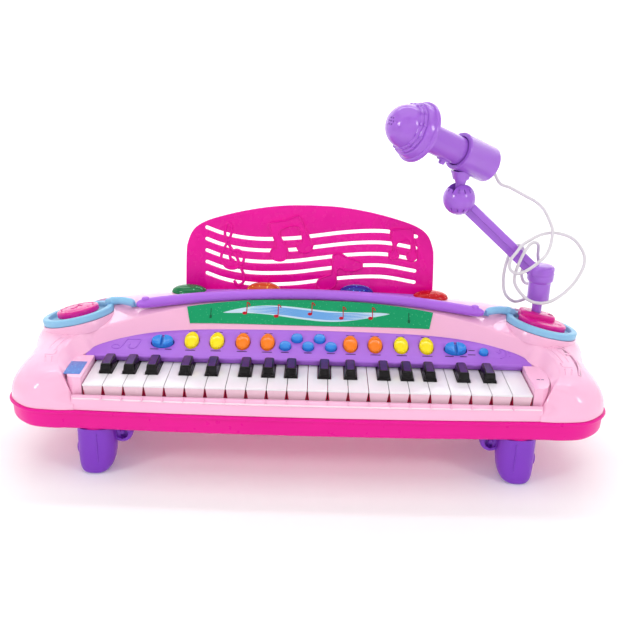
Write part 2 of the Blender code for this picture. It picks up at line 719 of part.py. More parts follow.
def blue_trim():
    """Both dishes with their tails, joined by a rail that lies under the bar."""
    rail_path = [ridge(x) + Vector((0.0, 7.6, -2.8)) for x in np.linspace(-160.0, 160.0, 13)]
    rail = swept(rail_path, lambda i: [(-1.6, -1.4), (1.6, -1.4), (1.6, 1.6), (-1.6, 1.6)])
    trim = place("blue_trim", rail, "sky_blue", smooth=35)
    for side in (-1, 1):
        profile = [
            (RING_OUTER - 0.6, -RING_HEIGHT),
            (RING_OUTER, -RING_HEIGHT + 1.0),
            (RING_OUTER, -1.0),
            (RING_OUTER - 1.2, 0.0),
            (RING_INNER + 1.0, 0.0),
            (RING_INNER, -1.0),
            (RING_INNER, -RING_HEIGHT + DISH_FLOOR),
        ]
        dish = turned(profile, 24, disc_matrix(side))
        combine(trim, cutter(f"dish_{side}", dish), "UNION")
        tail_points = [(182.0, 103.5, 33.0), (172.0, 99.5, 36.2), (163.0, 95.0, 37.2), (157.0, 92.0, 36.8)]
        tail = swept([Vector((side * x, y, z)) for x, y, z in tail_points], lambda i: circle(3.4, 8, math.pi / 8))
        combine(trim, cutter(f"tail_{side}", tail), "UNION")


def drum_pad():
    lift = -RING_HEIGHT + DISH_FLOOR
    profile = [
        (DRUM_RADIUS - 0.6, lift + 2.2),
        (DRUM_RADIUS, lift + 2.8),
        (DRUM_RADIUS, 1.6),
        (DRUM_RADIUS - 1.4, 3.0),
        (DRUM_RADIUS - 5.0, 3.4),
    ]
    matrix = disc_matrix(-1)
    place("drum_pad", turned(profile, 28, matrix), "magenta", matrix.translation, smooth=40)


def mic_socket():
    matrix = disc_matrix(1)
    lift = -RING_HEIGHT + DISH_FLOOR
    profile = [
        (SOCKET_RADIUS - 0.4, lift + GAP),
        (SOCKET_RADIUS, lift + 1.0),
        (SOCKET_RADIUS, 1.2),
        (SOCKET_RADIUS - 1.2, 2.4),
        (SOCKET_RADIUS - 3.0, 2.6),
    ]
    socket = place("mic_socket", turned(profile, 28, matrix), "magenta", smooth=40)
    block = loft(
        [
            [(px * s - 4.0, py * s + 8.0, z) for px, py in capsule_outline(16.0, 11.0, 20, 0.6)]
            for s, z in ((1.0, 0.0), (1.0, 5.6), (0.94, 6.6))
        ]
    )
    combine(socket, cutter("socket_block", transformed(block, matrix)), "UNION")
    hole = turned([(4.65, POST_FOOT_Z - GAP), (4.65, 70.0)], 16, Matrix.Translation((POST.x, POST.y, 0.0)))
    combine(socket, cutter("post_hole", hole), "DIFFERENCE")
    spare = turned([(3.0, 3.0), (3.0, 20.0)], 12, matrix @ Matrix.Translation((8.5, 8.0, 0.0)))
    combine(socket, cutter("spare_hole", spare), "DIFFERENCE")


def lens_base(x):
    """The height of the lens strip's underside, which follows the deck behind the bar."""
    return LENS_BASE_Z - 0.00016 * x * x


def lens_strip():
    """Four domed lenses on one strip behind the bar."""
    path = [Vector((x, DOME_Y, lens_base(x) + 0.7)) for x in np.linspace(DOME_X[0], DOME_X[-1], 11)]
    strip = swept(path, lambda i: [(-4.0, -0.7), (4.0, -0.7), (4.0, 0.7), (-4.0, 0.7)])
    lenses = place("lens_strip", strip, "lens", smooth=40)
    rise = ((16.2, 0.1), (16.2, 1.0), (14.8, 3.6), (11.0, 6.4), (3.0, 8.4))
    for i, x in enumerate(DOME_X):
        tall = 1.06 if abs(x) < 80 else 0.8
        profile = [(radius, lens_base(x) + height * tall) for radius, height in rise]
        dome = turned(profile, 14, Matrix.Translation((x, DOME_Y, 0.0)) @ Matrix.Diagonal((1.0, 0.6, 1.0, 1.0)))
        combine(lenses, cutter(f"dome_{i}", dome), "UNION")


STAND_CORNER = ((118.0, -8.0), (117.0, 38.0), (111.0, 55.0), (99.0, 66.5), (76.0, 73.5), (45.0, 80.5), (0.0, 84.5))
SLOTS = (
    # height of the slot's middle at the left end, the crest, the middle, the right
    (61.5, 54.0, 56.0, 60.5),
    (50.5, 43.0, 46.0, 50.0),
    (40.0, 32.5, 36.0, 39.5),
    (29.5, 21.5, 25.5, 29.0),
    (18.5, 11.0, 14.5, 18.0),
)


def stand_matrix():
    return Matrix.Translation((-1.5, STAND_Y, STAND_BASE_Z)) @ Matrix.Rotation(math.pi / 2 - STAND_LEAN, 4, "X")


def slot_height(row, x):
    """A wave from the left end down to a trough and back up to the right."""
    left, trough, middle, right = row
    knots = (-92.0, -52.0, -5.0, 52.0, 92.0)
    heights = (left, trough + 2.0, trough + 4.0, middle + 3.0, right)
    t = np.interp(x, knots, heights)
    return float(t)


def music_stand():
    """A plate with a rounded top and wavy slots, which stands in a slot of the housing."""
    half = smooth_curve(STAND_CORNER[1:], 15)
    right = [(x, y) for x, y in half]
    outline = [(-93.0, -8.0), (93.0, -8.0), (93.0, 6.0), (118.0, 6.0)] + right
    outline += [(-x, y) for x, y in right[-2::-1]] + [(-118.0, 6.0), (-93.0, 6.0)]
    matrix = stand_matrix()
    plate = place("music_stand", transformed(prism(outline, 0.0, STAND_THICK), matrix), "magenta", smooth=35)
    for i, row in enumerate(SLOTS):
        xs = np.linspace(-92.0, 92.0, 12)
        upper = [(x, slot_height(row, x) + 1.7) for x in xs]
        lower = [(x, slot_height(row, x) - 1.7) for x in xs[::-1]]
        wave = prism(lower[::-1] + upper[::-1], -5.0, STAND_THICK + 5.0)
        combine(plate, cutter(f"stand_wave_{i}", transformed(wave, matrix)), "DIFFERENCE")


# ---------------------------------------------------------------- microphone and its arm
def mic_arm():
    profile = [
        (4.35, POST_FOOT_Z),
        (4.35, CUFF_BOTTOM_Z - 1.5),
        (7.5, CUFF_BOTTOM_Z - 1.2),
        (9.75, CUFF_BOTTOM_Z),
        (9.75, CUFF_TOP_Z),
        (11.6, CUFF_TOP_Z + 2.6),
        (11.6, CAP_TOP_Z - 3.0),
        (8.6, CAP_TOP_Z - 0.6),
        (4.0, CAP_TOP_Z),
    ]
    arm = place("mic_arm", turned(profile, 20, Matrix.Translation((POST.x, POST.y, 0.0))), "purple", POST, smooth=40)
    start = Vector((POST.x - 2.0, POST.y, CUFF_TOP_Z + 6.0))
    reach = BALL - start
    bar = loft([[(x, y, z) for x, y in capsule_outline(5.6, 4.2, 8, 0.5)] for z in (0.0, reach.length - 8.0)])
    combine(arm, cutter("arm_bar", transformed(bar, axis_matrix(start, reach))), "UNION")
    shell = bmesh.new()
    bmesh.ops.create_uvsphere(shell, u_segments=14, v_segments=8, radius=BALL_RADIUS)
    combine(arm, cutter("ball_housing", transformed(shell, Matrix.Translation(BALL))), "UNION")
    slot = box((-20.0, -TONGUE_HALF - 0.4, 0.0), (20.0, TONGUE_HALF + 0.4, 20.0))
    combine(arm, cutter("ball_slot", transformed(slot, tilt_matrix())), "DIFFERENCE")
    seat = turned([(TONGUE_RADIUS + 0.4, z) for z in (-TONGUE_HALF - 0.4, TONGUE_HALF + 0.4)], 20)
    seat.transform(tilt_matrix() @ Matrix.Rotation(math.pi / 2, 4, "X"))
    combine(arm, cutter("tongue_seat", seat), "DIFFERENCE")


def tilt_matrix():
    """Zero in the ball, Y along the axis that the holder tilts about, Z up."""
    heading = math.atan2(MIC_TAIL_DIR.y, MIC_TAIL_DIR.x)
    return Matrix.Translation(BALL) @ Matrix.Rotation(heading, 4, "Z")


def clip_matrix():
    """Takes Z to the microphone's axis, pointing to its tail, zero above the ball."""
    return axis_matrix(CLIP_AXIS_POINT, MIC_TAIL_DIR)


def mic_holder():
    """The tube that holds the microphone, on a neck that turns in the ball housing."""
    tube = turned([(CLIP_OUTER, CLIP_FRONT), (CLIP_OUTER, CLIP_REAR)], 24, clip_matrix())
    holder = place("mic_holder", tube, "purple", BALL, smooth=40)
    neck = turned([(4.4, 1.0), (4.4, 14.0), (5.8, 17.5), (7.2, 30.0)], 12, tilt_matrix())
    combine(holder, cutter("holder_neck", neck), "UNION")
    tongue = turned([(TONGUE_RADIUS, -TONGUE_HALF), (TONGUE_RADIUS, TONGUE_HALF)], 20)
    tongue.transform(tilt_matrix() @ Matrix.Rotation(math.pi / 2, 4, "X"))
    combine(holder, cutter("holder_tongue", tongue), "UNION")
    bore = turned([(MIC_RADIUS + 0.6, CLIP_FRONT - 5), (MIC_RADIUS + 0.6, CLIP_REAR + 5)], 24, clip_matrix())
    combine(holder, cutter("holder_bore", bore), "DIFFERENCE")


def microphone():
    f = MIC_FLANGE
    profile = [
        (2.5, f - 29.6),
        (9.5, f - 27.4),
        (14.6, f - 23.0),
        (17.6, f - 17.0),
        (18.6, f - 13.0),
        (20.4, f - 11.6),
        (21.0, f - 8.6),
        (22.6, f - 7.4),
        (23.4, f - 2.4),
        (25.4, f - 1.4),
        (25.4, f + 1.6),
        (22.6, f + 3.0),
        (13.6, f + 9.4),
        (MIC_RADIUS, f + 11.0),
        (MIC_RADIUS, CLIP_REAR - 4.0),
        (9.0, CLIP_REAR - 1.0),
        (4.0, CLIP_REAR - 0.6),
    ]
    place("microphone", turned(profile, 20, clip_matrix()), "purple", CLIP_AXIS_POINT, smooth=40)


CORD_DIAMETER = 2.8
CORD_POINTS = 80
CORD_ROUTE = (
    # after the microphone's tail: a high arc that falls on the player's side of the post
    (163, 121.5, 146.5), (173, 124.5, 142), (187, 125, 135), (197, 124, 130), (204, 121, 124),
    (209, 116, 115), (211, 110, 108), (209, 102, 100), (206, 96, 94), (201, 90, 89),
    # across the front of the cap, and up again over the arm's foot
    (191, 85.6, 81.5), (180, 84.6, 75.5), (172.6, 87, 78), (172.6, 91, 85), (178, 94, 92), (185, 100, 98),
    # the wide loop out to the right, and back in front of the post
    (203, 111, 104), (218, 115, 104), (232, 113, 99), (241, 107, 86), (238, 101, 73),
    (225, 93, 58), (208, 87, 49), (193, 90, 49), (181, 92, 60), (178, 92, 71),
    # up past the arm's foot, then down behind the cap and round
    (183, 94, 88), (191, 100, 98), (199, 107, 96), (202, 114, 83), (206, 120.5, 70),
    (208, 126, 61), (204.5, 129.5, 53), (197, 130, 52.5), (192.5, 127.5, 61), (192, 122.5, 77),
    # behind the arm, the small loop on the left, and in behind the post
    (188.5, 118, 89), (182, 115.3, 92), (176, 112.5, 85), (172, 108.5, 67), (174.5, 109, 50), (185, 115, 39.5),
    (197.5, 120.5, 41), (204, 119, 49),
)


def mic_cord():
    """One thin cord from the microphone's tail, in loose loops, to the back of the cuff."""
    tail = CLIP_AXIS_POINT + MIC_TAIL_DIR * CLIP_REAR
    plug = (POST.x, POST.y + 9.75 + 3 * GAP, 53.0)
    route = [tuple(tail), tuple(tail + MIC_TAIL_DIR * 4.0), *CORD_ROUTE, plug]
    curve = bpy.data.curves.new("mic_cord", "CURVE")
    curve.dimensions = "3D"
    curve.bevel_depth = CORD_DIAMETER / 2 * MM
    curve.bevel_resolution = 2
    curve.use_fill_caps = True
    spline = curve.splines.new("POLY")
    points = even_curve(route, CORD_POINTS)
    spline.points.add(len(points) - 1)
    for i, point in enumerate(points):
        spline.points[i].co = (*((Vector(point) - tail) * MM), 1.0)
    curve.materials.append(material("cord_white"))
    cord = bpy.data.objects.new("mic_cord", curve)
    cord.location = (tail + DATUM) * MM
    bpy.context.scene.collection.objects.link(cord)


def main():
    for old in list(bpy.data.objects):
        bpy.data.objects.remove(old)
    upper_housing()
    lower_housing()
    battery_door()
    circuit_board()
    leg("leg_left", -1)
    leg("leg_right", 1)
    for number in range(1, WHITE_KEYS + 1):
        white_key(number)
    for index, after in enumerate(BLACK_AFTER, 1):
        black_key(index, after)
    control_panel()
    buttons()
    rocker("record_rocker", -1)
    rocker("volume_rocker", 1)
    top_bar()
    blue_trim()
    drum_pad()
    mic_socket()
    lens_strip()
    music_stand()
    mic_arm()
    mic_holder()
    microphone()
    mic_cord()


main()
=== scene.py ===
"""The looks of a toy electronic keyboard with a microphone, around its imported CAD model.

Sizes are in mm in the drawing frame of the part's own script: X right, Y away from the player, Z up,
zero in the middle of the keys' front top edge. place() turns them into metres in the row frame.
"""

import math

import bmesh
import bpy
import numpy as np
from mathutils import Matrix, Vector
from mathutils.bvhtree import BVHTree


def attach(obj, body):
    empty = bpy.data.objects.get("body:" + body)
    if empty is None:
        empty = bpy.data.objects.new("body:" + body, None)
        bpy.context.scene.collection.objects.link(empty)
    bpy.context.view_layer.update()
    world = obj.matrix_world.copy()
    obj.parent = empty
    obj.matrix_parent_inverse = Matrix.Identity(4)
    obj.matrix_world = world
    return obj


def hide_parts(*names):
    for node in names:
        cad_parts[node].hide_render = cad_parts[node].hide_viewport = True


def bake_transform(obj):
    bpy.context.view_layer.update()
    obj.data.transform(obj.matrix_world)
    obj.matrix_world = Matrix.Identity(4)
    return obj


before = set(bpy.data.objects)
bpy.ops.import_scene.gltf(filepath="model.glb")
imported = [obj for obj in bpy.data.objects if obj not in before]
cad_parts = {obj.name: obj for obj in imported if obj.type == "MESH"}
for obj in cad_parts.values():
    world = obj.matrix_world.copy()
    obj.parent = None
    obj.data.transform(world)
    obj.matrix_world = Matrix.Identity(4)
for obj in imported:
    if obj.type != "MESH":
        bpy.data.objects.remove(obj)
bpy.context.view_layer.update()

MM = 0.001
DATUM = Vector((0.0, -68.5, 79.0))
GAP = 0.3


# ---------------------------------------------------------------- materials
def linear(red, green, blue):
    """A display colour, 0 to 255, as the linear one that shaders take."""
    return (*(((c / 255 + 0.055) / 1.055) ** 2.4 for c in (red, green, blue)), 1.0)


def plastic(name, colour, roughness=0.3, coat=0.0, mottle=0.05, skin=0.05, flecks=None, metallic=0.0, ior=1.4):
    """Moulded plastic: flow marks in its colour, handling marks in its gloss, a fine skin, any flecks."""
    made = bpy.data.materials.new(name)
    made.use_nodes = True
    tree = made.node_tree
    shader = tree.nodes["Principled BSDF"]
    for socket, value in (("IOR", ior), ("Metallic", metallic), ("Coat Weight", coat), ("Coat Roughness", 0.08)):
        shader.inputs[socket].default_value = value

    def node(kind, **sockets):
        found = tree.nodes.new(f"ShaderNode{kind}")
        for socket, value in sockets.items():
            found.inputs[socket].default_value = value
        return found

    place_on = node("TexCoord").outputs["Object"]

    def noise(scale, detail, distortion=0.0):
        found = node("TexNoise", Scale=scale, Detail=detail, Distortion=distortion)
        tree.links.new(place_on, found.inputs["Vector"])
        return found.outputs["Fac"]

    def ramp(value, low, high, first, second):
        found = node("ValToRGB")
        for stop, position, shown in zip(found.color_ramp.elements, (low, high), (first, second)):
            stop.position, stop.color = position, shown
        tree.links.new(value, found.inputs["Fac"])
        return found.outputs["Color"]

    base = Vector(linear(*colour)[:3])
    dark = (*(base * (1 - mottle)), 1.0)
    light = (*(min(1.0, c * (1 + 0.6 * mottle) + 0.04 * mottle) for c in base), 1.0)
    shade = ramp(noise(14.0, 2.0, 0.3), 0.2, 0.85, dark, light)
    if flecks is not None:
        fleck_colour, scale, size = flecks
        cells = node("TexVoronoi", Scale=scale)
        tree.links.new(place_on, cells.inputs["Vector"])
        mask = ramp(cells.outputs["Distance"], size, size + 0.08, (1, 1, 1, 1), (0, 0, 0, 1))
        mix = node("MixRGB", Color2=linear(*fleck_colour))
        tree.links.new(mask, mix.inputs["Fac"])
        tree.links.new(shade, mix.inputs["Color1"])
        shade = mix.outputs["Color"]
    tree.links.new(shade, shader.inputs["Base Color"])
    smooth, dull = 0.9 * roughness, min(1.0, 1.15 * roughness)
    gloss = ramp(noise(140.0, 6.0), 0.3, 0.75, (smooth,) * 3 + (1,), (dull,) * 3 + (1,))
    tree.links.new(gloss, shader.inputs["Roughness"])
    bump = node("Bump", Strength=skin, Distance=0.0004)
    tree.links.new(noise(1500.0, 2.0), bump.inputs["Height"])
    tree.links.new(bump.outputs["Normal"], shader.inputs["Normal"])
    return made


PINK = plastic("pink", (253, 190, 222), 0.2, coat=0.35, mottle=0.03)
MAGENTA = plastic("magenta", (236, 4, 150), 0.3, mottle=0.04, ior=1.32)
STAND_PINK = plastic("stand_magenta", (238, 2, 156), 0.26, mottle=0.04, ior=1.32)
PURPLE = plastic("purple", (178, 106, 228), 0.3, coat=0.1, mottle=0.04, ior=1.38)
PANEL = plastic("panel_purple", (172, 108, 222), 0.4, mottle=0.03, skin=0.12, ior=1.35)
MIC_PURPLE = plastic("mic_purple", (166, 100, 218), 0.2, coat=0.5, mottle=0.03)
LEG_PURPLE = plastic("leg_purple", (128, 52, 196), 0.32, coat=0.1, mottle=0.06)
SKY = plastic("sky_blue", (142, 198, 234), 0.4, mottle=0.04, skin=0.14)
DISC = plastic("disc_magenta", (222, 14, 146), 0.24, coat=0.2, mottle=0.05, ior=1.35)
WHITE = plastic("key_white", (243, 238, 243), 0.2, coat=0.3, mottle=0.02, skin=0.03)
# painted shade: a dark red for the shade inside the tray, seen through the gaps between the key fronts
KEY_GAP_SHADE = plastic("painted_key_gap_shade", (196, 30, 74), 0.5, mottle=0.15)
# painted highlight: a paler copy of the shell's pink for the bright line along the lip's front edge
LIP_HIGHLIGHT_PINK = plastic("painted_highlight_pink", (255, 226, 240), 0.15, coat=0.3, mottle=0.05)
# painted reflection and painted shade: the white keys' front faces coloured a darker pink for the pink lip they mirror
KEY_FRONT_SHADE_AND_REFLECTION = plastic("key_front_painted_shade_and_reflection", (244, 208, 222), 0.25, mottle=0.03, skin=0.03)
# painted reflection: a purple top on the black keys for the purple panel they mirror
BLACK_TOP_REFLECTION = plastic("key_black_painted_reflection", (74, 36, 108), 0.2, mottle=0.25, skin=0.03, ior=1.3)
INK_GREEN = plastic("ink_green", (16, 92, 62), 0.5, mottle=0.1, ior=1.3)
BLACK = plastic("key_black", (12, 6, 10), 0.14, mottle=0.2, skin=0.03, ior=1.3)
YELLOW = plastic("yellow", (255, 230, 0), 0.2, coat=0.15, mottle=0.03, ior=1.35)
ORANGE = plastic("orange", (254, 128, 0), 0.2, coat=0.15, mottle=0.04, ior=1.35)
BLUE = plastic("button_blue", (44, 138, 228), 0.22, coat=0.15, mottle=0.05, ior=1.35)
GREEN = plastic("title_green", (10, 158, 102), 0.45, mottle=0.05, flecks=((90, 200, 150), 420.0, 0.1), ior=1.3)
CORD_WHITE = plastic("cord_white", (222, 216, 222), 0.45, mottle=0.04, skin=0.1)
BOARD = plastic("board_green", (24, 92, 52), 0.4, mottle=0.2, flecks=((200, 200, 190), 260.0, 0.08))
INK = plastic("ink", (58, 24, 84), 0.6, mottle=0.2)
STEEL = plastic("steel", (176, 178, 184), 0.34, mottle=0.12, metallic=1.0)
# painted shade: a darkened copy of the disc's magenta for the floor of the spare hole
HOLE_SHADE = plastic("painted_hole_shade", (96, 8, 44), 0.6, mottle=0.3)
STICKER = plastic("sticker_blue", (86, 128, 208), 0.3, mottle=0.1, flecks=((96, 190, 232), 420.0, 0.16))
RIBBON_BLUE = plastic("ribbon_blue", (112, 172, 232), 0.4, mottle=0.1, ior=1.3)
RIBBON_PALE = plastic("ribbon_pale", (204, 228, 244), 0.4, mottle=0.06, ior=1.3)
PRINT_RED = plastic("print_red", (196, 10, 40), 0.4, mottle=0.1, ior=1.3)
DOME_FINISH = [
    plastic(f"dome_{name}", colour, 0.1, coat=0.1, mottle=mottle, flecks=(fleck, 330.0, size), ior=1.4)
    for name, colour, mottle, fleck, size in (
        ("green", (0, 128, 70), 0.6, (110, 235, 160), 0.18),
        ("orange", (226, 80, 0), 0.5, (255, 196, 80), 0.18),
        ("blue", (8, 24, 160), 0.5, (90, 150, 255), 0.18),
        ("red", (216, 0, 16), 0.3, (255, 90, 80), 0.12),
    )
]


# ---------------------------------------------------------------- mesh helpers
SHARP_ANGLE = math.radians(35.0)
EDGE_STEPS = 3
UP = Vector((0.0, 0.0, 1.0))


def linked(name, data):
    """A new object in the scene."""
    made = bpy.data.objects.new(name, data)
    bpy.context.scene.collection.objects.link(made)
    return made


def baked(bm, name):
    """The bmesh as a mesh; the bmesh is used up."""
    mesh = bpy.data.meshes.new(name)
    bm.to_mesh(mesh)
    bm.free()
    return mesh


def shift(x, y, z=0.0):
    return Matrix.Translation((x, y, z))


def place(name, bm, finishes, body, slot, *nodes, smooth=38, matrix=None):
    """Turns a bmesh drawn in mm into a piece in metres that rides on a body and stands for CAD nodes."""
    if matrix is not None:
        bm.transform(matrix)
    bmesh.ops.recalc_face_normals(bm, faces=bm.faces)
    for vert in bm.verts:
        vert.co = (vert.co + DATUM) * MM
    mesh = baked(bm, name)
    mesh.shade_smooth()
    mesh.set_sharp_from_angle(angle=math.radians(smooth))
    for finish in finishes if isinstance(finishes, (list, tuple)) else [finishes]:
        mesh.materials.append(finish)
    made = linked(name, mesh)
    if body is not None:
        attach(made, body)
    if nodes:
        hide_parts(*nodes)
    return made


def joined(*shapes, finish=None):
    """One bmesh of several; finish gives the material index of each."""
    total = bmesh.new()
    for index, shape in enumerate(shapes):
        if finish is not None:
            for face in shape.faces:
                face.material_index = finish[index]
        mesh = baked(shape, "joined")
        total.from_mesh(mesh)
        bpy.data.meshes.remove(mesh)
    return total


def carve(shape, tool, operation="DIFFERENCE"):
    """The shape with the tool's closed form cut from it or joined to it."""
    pair = []
    for bm in (shape, tool):
        bmesh.ops.recalc_face_normals(bm, faces=bm.faces)
        pair.append(linked("carve", baked(bm, "carve")))
    modifier = pair[0].modifiers.new("carve", "BOOLEAN")
    modifier.operation = operation
    modifier.object = pair[1]
    bpy.context.view_layer.update()
    result = bmesh.new()
    result.from_mesh(pair[0].evaluated_get(bpy.context.evaluated_depsgraph_get()).to_mesh())
    for made in pair:
        bpy.data.meshes.remove(made.data)
    return result


def rounded(bm, width, segments=2):
    """The bmesh with its sharp edges rounded."""
    bmesh.ops.recalc_face_normals(bm, faces=bm.faces)
    sharp = [edge for edge in bm.edges if len(edge.link_faces) == 2 and edge.calc_face_angle(0.0) > SHARP_ANGLE]
    bmesh.ops.bevel(
        bm, geom=sharp, offset=width, offset_type="OFFSET", segments=segments, profile=0.6, affect="EDGES",
        clamp_overlap=True,
    )
    return bm


def moved(bm, matrix):
    bm.transform(matrix)
    return bm


def band(bm, first, second):
    """Faces between two closed rings of as many vertices."""
    for i in range(len(first)):
        j = (i + 1) % len(first)
        bm.faces.new((first[i], first[j], second[j], second[i]))


def loft(loops, closed_path=False, caps=True):
    """A skin over loops that all have the same number of points."""
    bm = bmesh.new()
    rings = [[bm.verts.new(point) for point in loop] for loop in loops]
    pairs = list(zip(rings, rings[1:]))
    if closed_path:
        pairs.append((rings[-1], rings[0]))
    for first, second in pairs:
        band(bm, first, second)
    if caps and not closed_path:
        bm.faces.new(rings[0][::-1])
        bm.faces.new(rings[-1])
    return bm


def prism(outline, low, high):
    return loft([[(x, y, low) for x, y in outline], [(x, y, high) for x, y in outline]])


def side_prism(outline, left, right, steps=1):
    """An outline in YZ drawn along X."""
    return loft([[(x, y, z) for y, z in outline] for x in np.linspace(left, right, steps + 1)])


def box(low, high):
    return prism([(low[0], low[1]), (high[0], low[1]), (high[0], high[1]), (low[0], high[1])], low[2], high[2])


def circle(radius, count, phase=0.0):
    turns = [phase + 2 * math.pi * i / count for i in range(count)]
    return [(radius * math.cos(turn), radius * math.sin(turn)) for turn in turns]


def oval(half_width, half_length, count, power=1.0):
    """An ellipse or superellipse outline centred on zero."""
    return [
        (half_width * math.copysign(abs(x) ** power, x), half_length * math.copysign(abs(y) ** power, y))
        for x, y in circle(1.0, count, math.pi / count)
    ]


def turned(profile, count, matrix=None):
    """A solid turned about Z from (radius, z) points, ends capped."""
    bm = loft([[(x, y, z) for x, y in circle(radius, count)] for radius, z in profile])
    return bm if matrix is None else moved(bm, matrix)


def axis_matrix(point, direction):
    return Matrix.Translation(point) @ Vector(direction).to_track_quat("Z", "Y").to_matrix().to_4x4()


def smooth_curve(points, count):
    """Points at even steps of the parameter along a Catmull-Rom curve through the given rows."""
    rows = np.array(points, float)
    rows = np.vstack([2 * rows[0] - rows[1], rows, 2 * rows[-1] - rows[-2]])
    found = []
    for step in np.linspace(0, len(points) - 1, count):
        i = min(int(step), len(points) - 2)
        t = step - i
        a, b, c, d = rows[i : i + 4]
        found.append(
            0.5 * (2 * b + (c - a) * t + (2 * a - 5 * b + 4 * c - d) * t * t + (3 * b - a - 3 * c + d) * t**3)
        )
    return np.array(found)


def spaced(rows, count, endpoint=True):
    """Points at even distances along a fine row of points."""
    far = np.concatenate([[0], np.cumsum(np.linalg.norm(np.diff(rows, axis=0), axis=1))])
    wanted = np.linspace(0, far[-1], count, endpoint=endpoint)
    return np.stack([np.interp(wanted, far, rows[:, k]) for k in range(rows.shape[1])], axis=1)


def even_curve(points, count):
    """Points at even distances along the same curve."""
    return spaced(smooth_curve(points, 40 * len(points)), count)


def closed_curve(points, count):
    """Points at even distances round a closed smooth curve, drawn with some overlap at both ends."""
    overlap, fineness = 3, 60
    rows = [*points[-overlap:], *points, *points[:overlap]]
    fine = smooth_curve(rows, fineness * len(rows))
    start, end = (
        int(fineness * row * len(rows) / (len(rows) - 1)) for row in (overlap, len(points) + overlap)
    )
    return spaced(fine[start:end], count, endpoint=False)


def swept(path, shape):
    """A tube whose section, given by shape(i) as (side, up) points, follows the path."""
    loops = []
    for i, point in enumerate(path):
        ahead = Vector(path[min(i + 1, len(path) - 1)]) - Vector(path[max(i - 1, 0)])
        ahead.normalize()
        side = ahead.cross(UP).normalized()
        top = side.cross(ahead)
        loops.append([Vector(point) + side * s + top * t for s, t in shape(i)])
    return loft(loops)


def tube(path, radius, sides=8):
    """A round tube with flat ends that doesn't twist along its path."""
    points = [Vector(point) for point in path]
    ahead = (points[1] - points[0]).normalized()
    side = ahead.orthogonal().normalized()
    loops = []
    for i, point in enumerate(points):
        way = (points[min(i + 1, len(points) - 1)] - points[max(i - 1, 0)]).normalized()
        side = (side - way * side.dot(way)).normalized()
        top = way.cross(side)
        size = radius(i) if callable(radius) else radius
        loops.append([point + side * x + top * y for x, y in circle(size, sides)])
    return loft(loops)


def grown(outline, amount):
    """A closed outline moved out along its own normals; the outline runs anticlockwise."""
    loop = np.array(outline, float)
    along = np.roll(loop, -1, axis=0) - np.roll(loop, 1, axis=0)
    along /= np.linalg.norm(along, axis=1)[:, None]
    return loop + np.stack([along[:, 1], -along[:, 0]], axis=1) * amount


def anticlockwise(outline):
    loop = np.array(outline, float)
    turn = np.sum(loop[:, 0] * np.roll(loop[:, 1], -1) - loop[:, 1] * np.roll(loop[:, 0], -1))
    return loop if turn > 0 else loop[::-1]


def plate(outline, holes, thickness, edge):
    """A flat plate with holes in its own XY plane, from zero up to the thickness, its edges rounded."""
    turns = np.linspace(0.0, math.pi / 2, EDGE_STEPS + 1)
    low = [(edge * (1 - math.sin(t)), edge * (1 - math.cos(t))) for t in turns]
    levels = low + [(inset, thickness - z) for inset, z in low[::-1]]
    outline = anticlockwise(outline)
    body = loft([[(x, y, z) for x, y in grown(outline, -inset)] for inset, z in levels])
    cutters = []
    for hole in holes:
        hole = anticlockwise(hole)
        flared = [(edge + 0.2, -0.4), *levels, (edge + 0.2, thickness + 0.4)]
        cutters.append(loft([[(x, y, z) for x, y in grown(hole, inset)] for inset, z in flared]))
    return carve(body, joined(*cutters)) if cutters else body


# ---------------------------------------------------------------- camera, stage and light
CAMERA_PLACE = Vector((0.006, -0.6998, 0.381))
CAMERA_PITCH = math.radians(20.46)
CAMERA_ROLL = math.radians(1.341)
CAMERA_YAW = math.radians(-0.294)


def camera():
    data = bpy.data.cameras.new("camera")
    data.lens = 50.0
    data.sensor_width = 36.0
    ahead, across = math.cos(CAMERA_YAW), math.sin(CAMERA_YAW)
    flat = math.cos(CAMERA_PITCH)
    forward = Vector((across * flat, ahead * flat, -math.sin(CAMERA_PITCH)))
    level = Vector((ahead, -across, 0.0))
    upright = level.cross(forward)
    right = level * math.cos(CAMERA_ROLL) + upright * math.sin(CAMERA_ROLL)
    up = upright * math.cos(CAMERA_ROLL) - level * math.sin(CAMERA_ROLL)
    made = linked("camera", data)
    made.matrix_world = Matrix.Translation(CAMERA_PLACE) @ Matrix((right, up, -forward)).transposed().to_4x4()
    bpy.context.scene.camera = made


def stage():
    """A pale floor that curves up into a backdrop on every side."""
    reach, bend, height, sides = 2.2, 0.9, 3.2, 64
    turns = np.linspace(0.15, math.pi / 2, 10)
    profile = [
        (reach, 0.0), *((reach + bend * math.sin(t), bend - bend * math.cos(t)) for t in turns),
        (reach + bend, height),
    ]
    bm = loft([[(x, y, z) for x, y in circle(radius, sides)] for radius, z in profile], caps=False)
    rim = list(bm.verts)[:sides]
    middle = bm.verts.new((0.0, 0.0, 0.0))
    for first, second in zip(rim, rim[1:] + rim[:1]):
        bm.faces.new((first, second, middle))
    bmesh.ops.recalc_face_normals(bm, faces=bm.faces)
    mesh = baked(bm, "floor")
    mesh.shade_smooth()
    paper = plastic("floor", (252, 252, 252), 0.7, mottle=0.01, skin=0.0)
    sockets = paper.node_tree.nodes["Principled BSDF"].inputs
    sockets["Emission Color"].default_value = (1.0, 1.0, 1.0, 1.0)
    sockets["Emission Strength"].default_value = 0.07
    mesh.materials.append(paper)
    linked("floor", mesh)


def area_light(name, at, aim, size, power):
    data = bpy.data.lights.new(name, "AREA")
    data.shape = "RECTANGLE"
    data.size, data.size_y = size
    data.energy = power
    facing = (Vector(aim) - Vector(at)).to_track_quat("-Z", "Y").to_matrix().to_4x4()
    linked(name, data).matrix_world = Matrix.Translation(at) @ facing


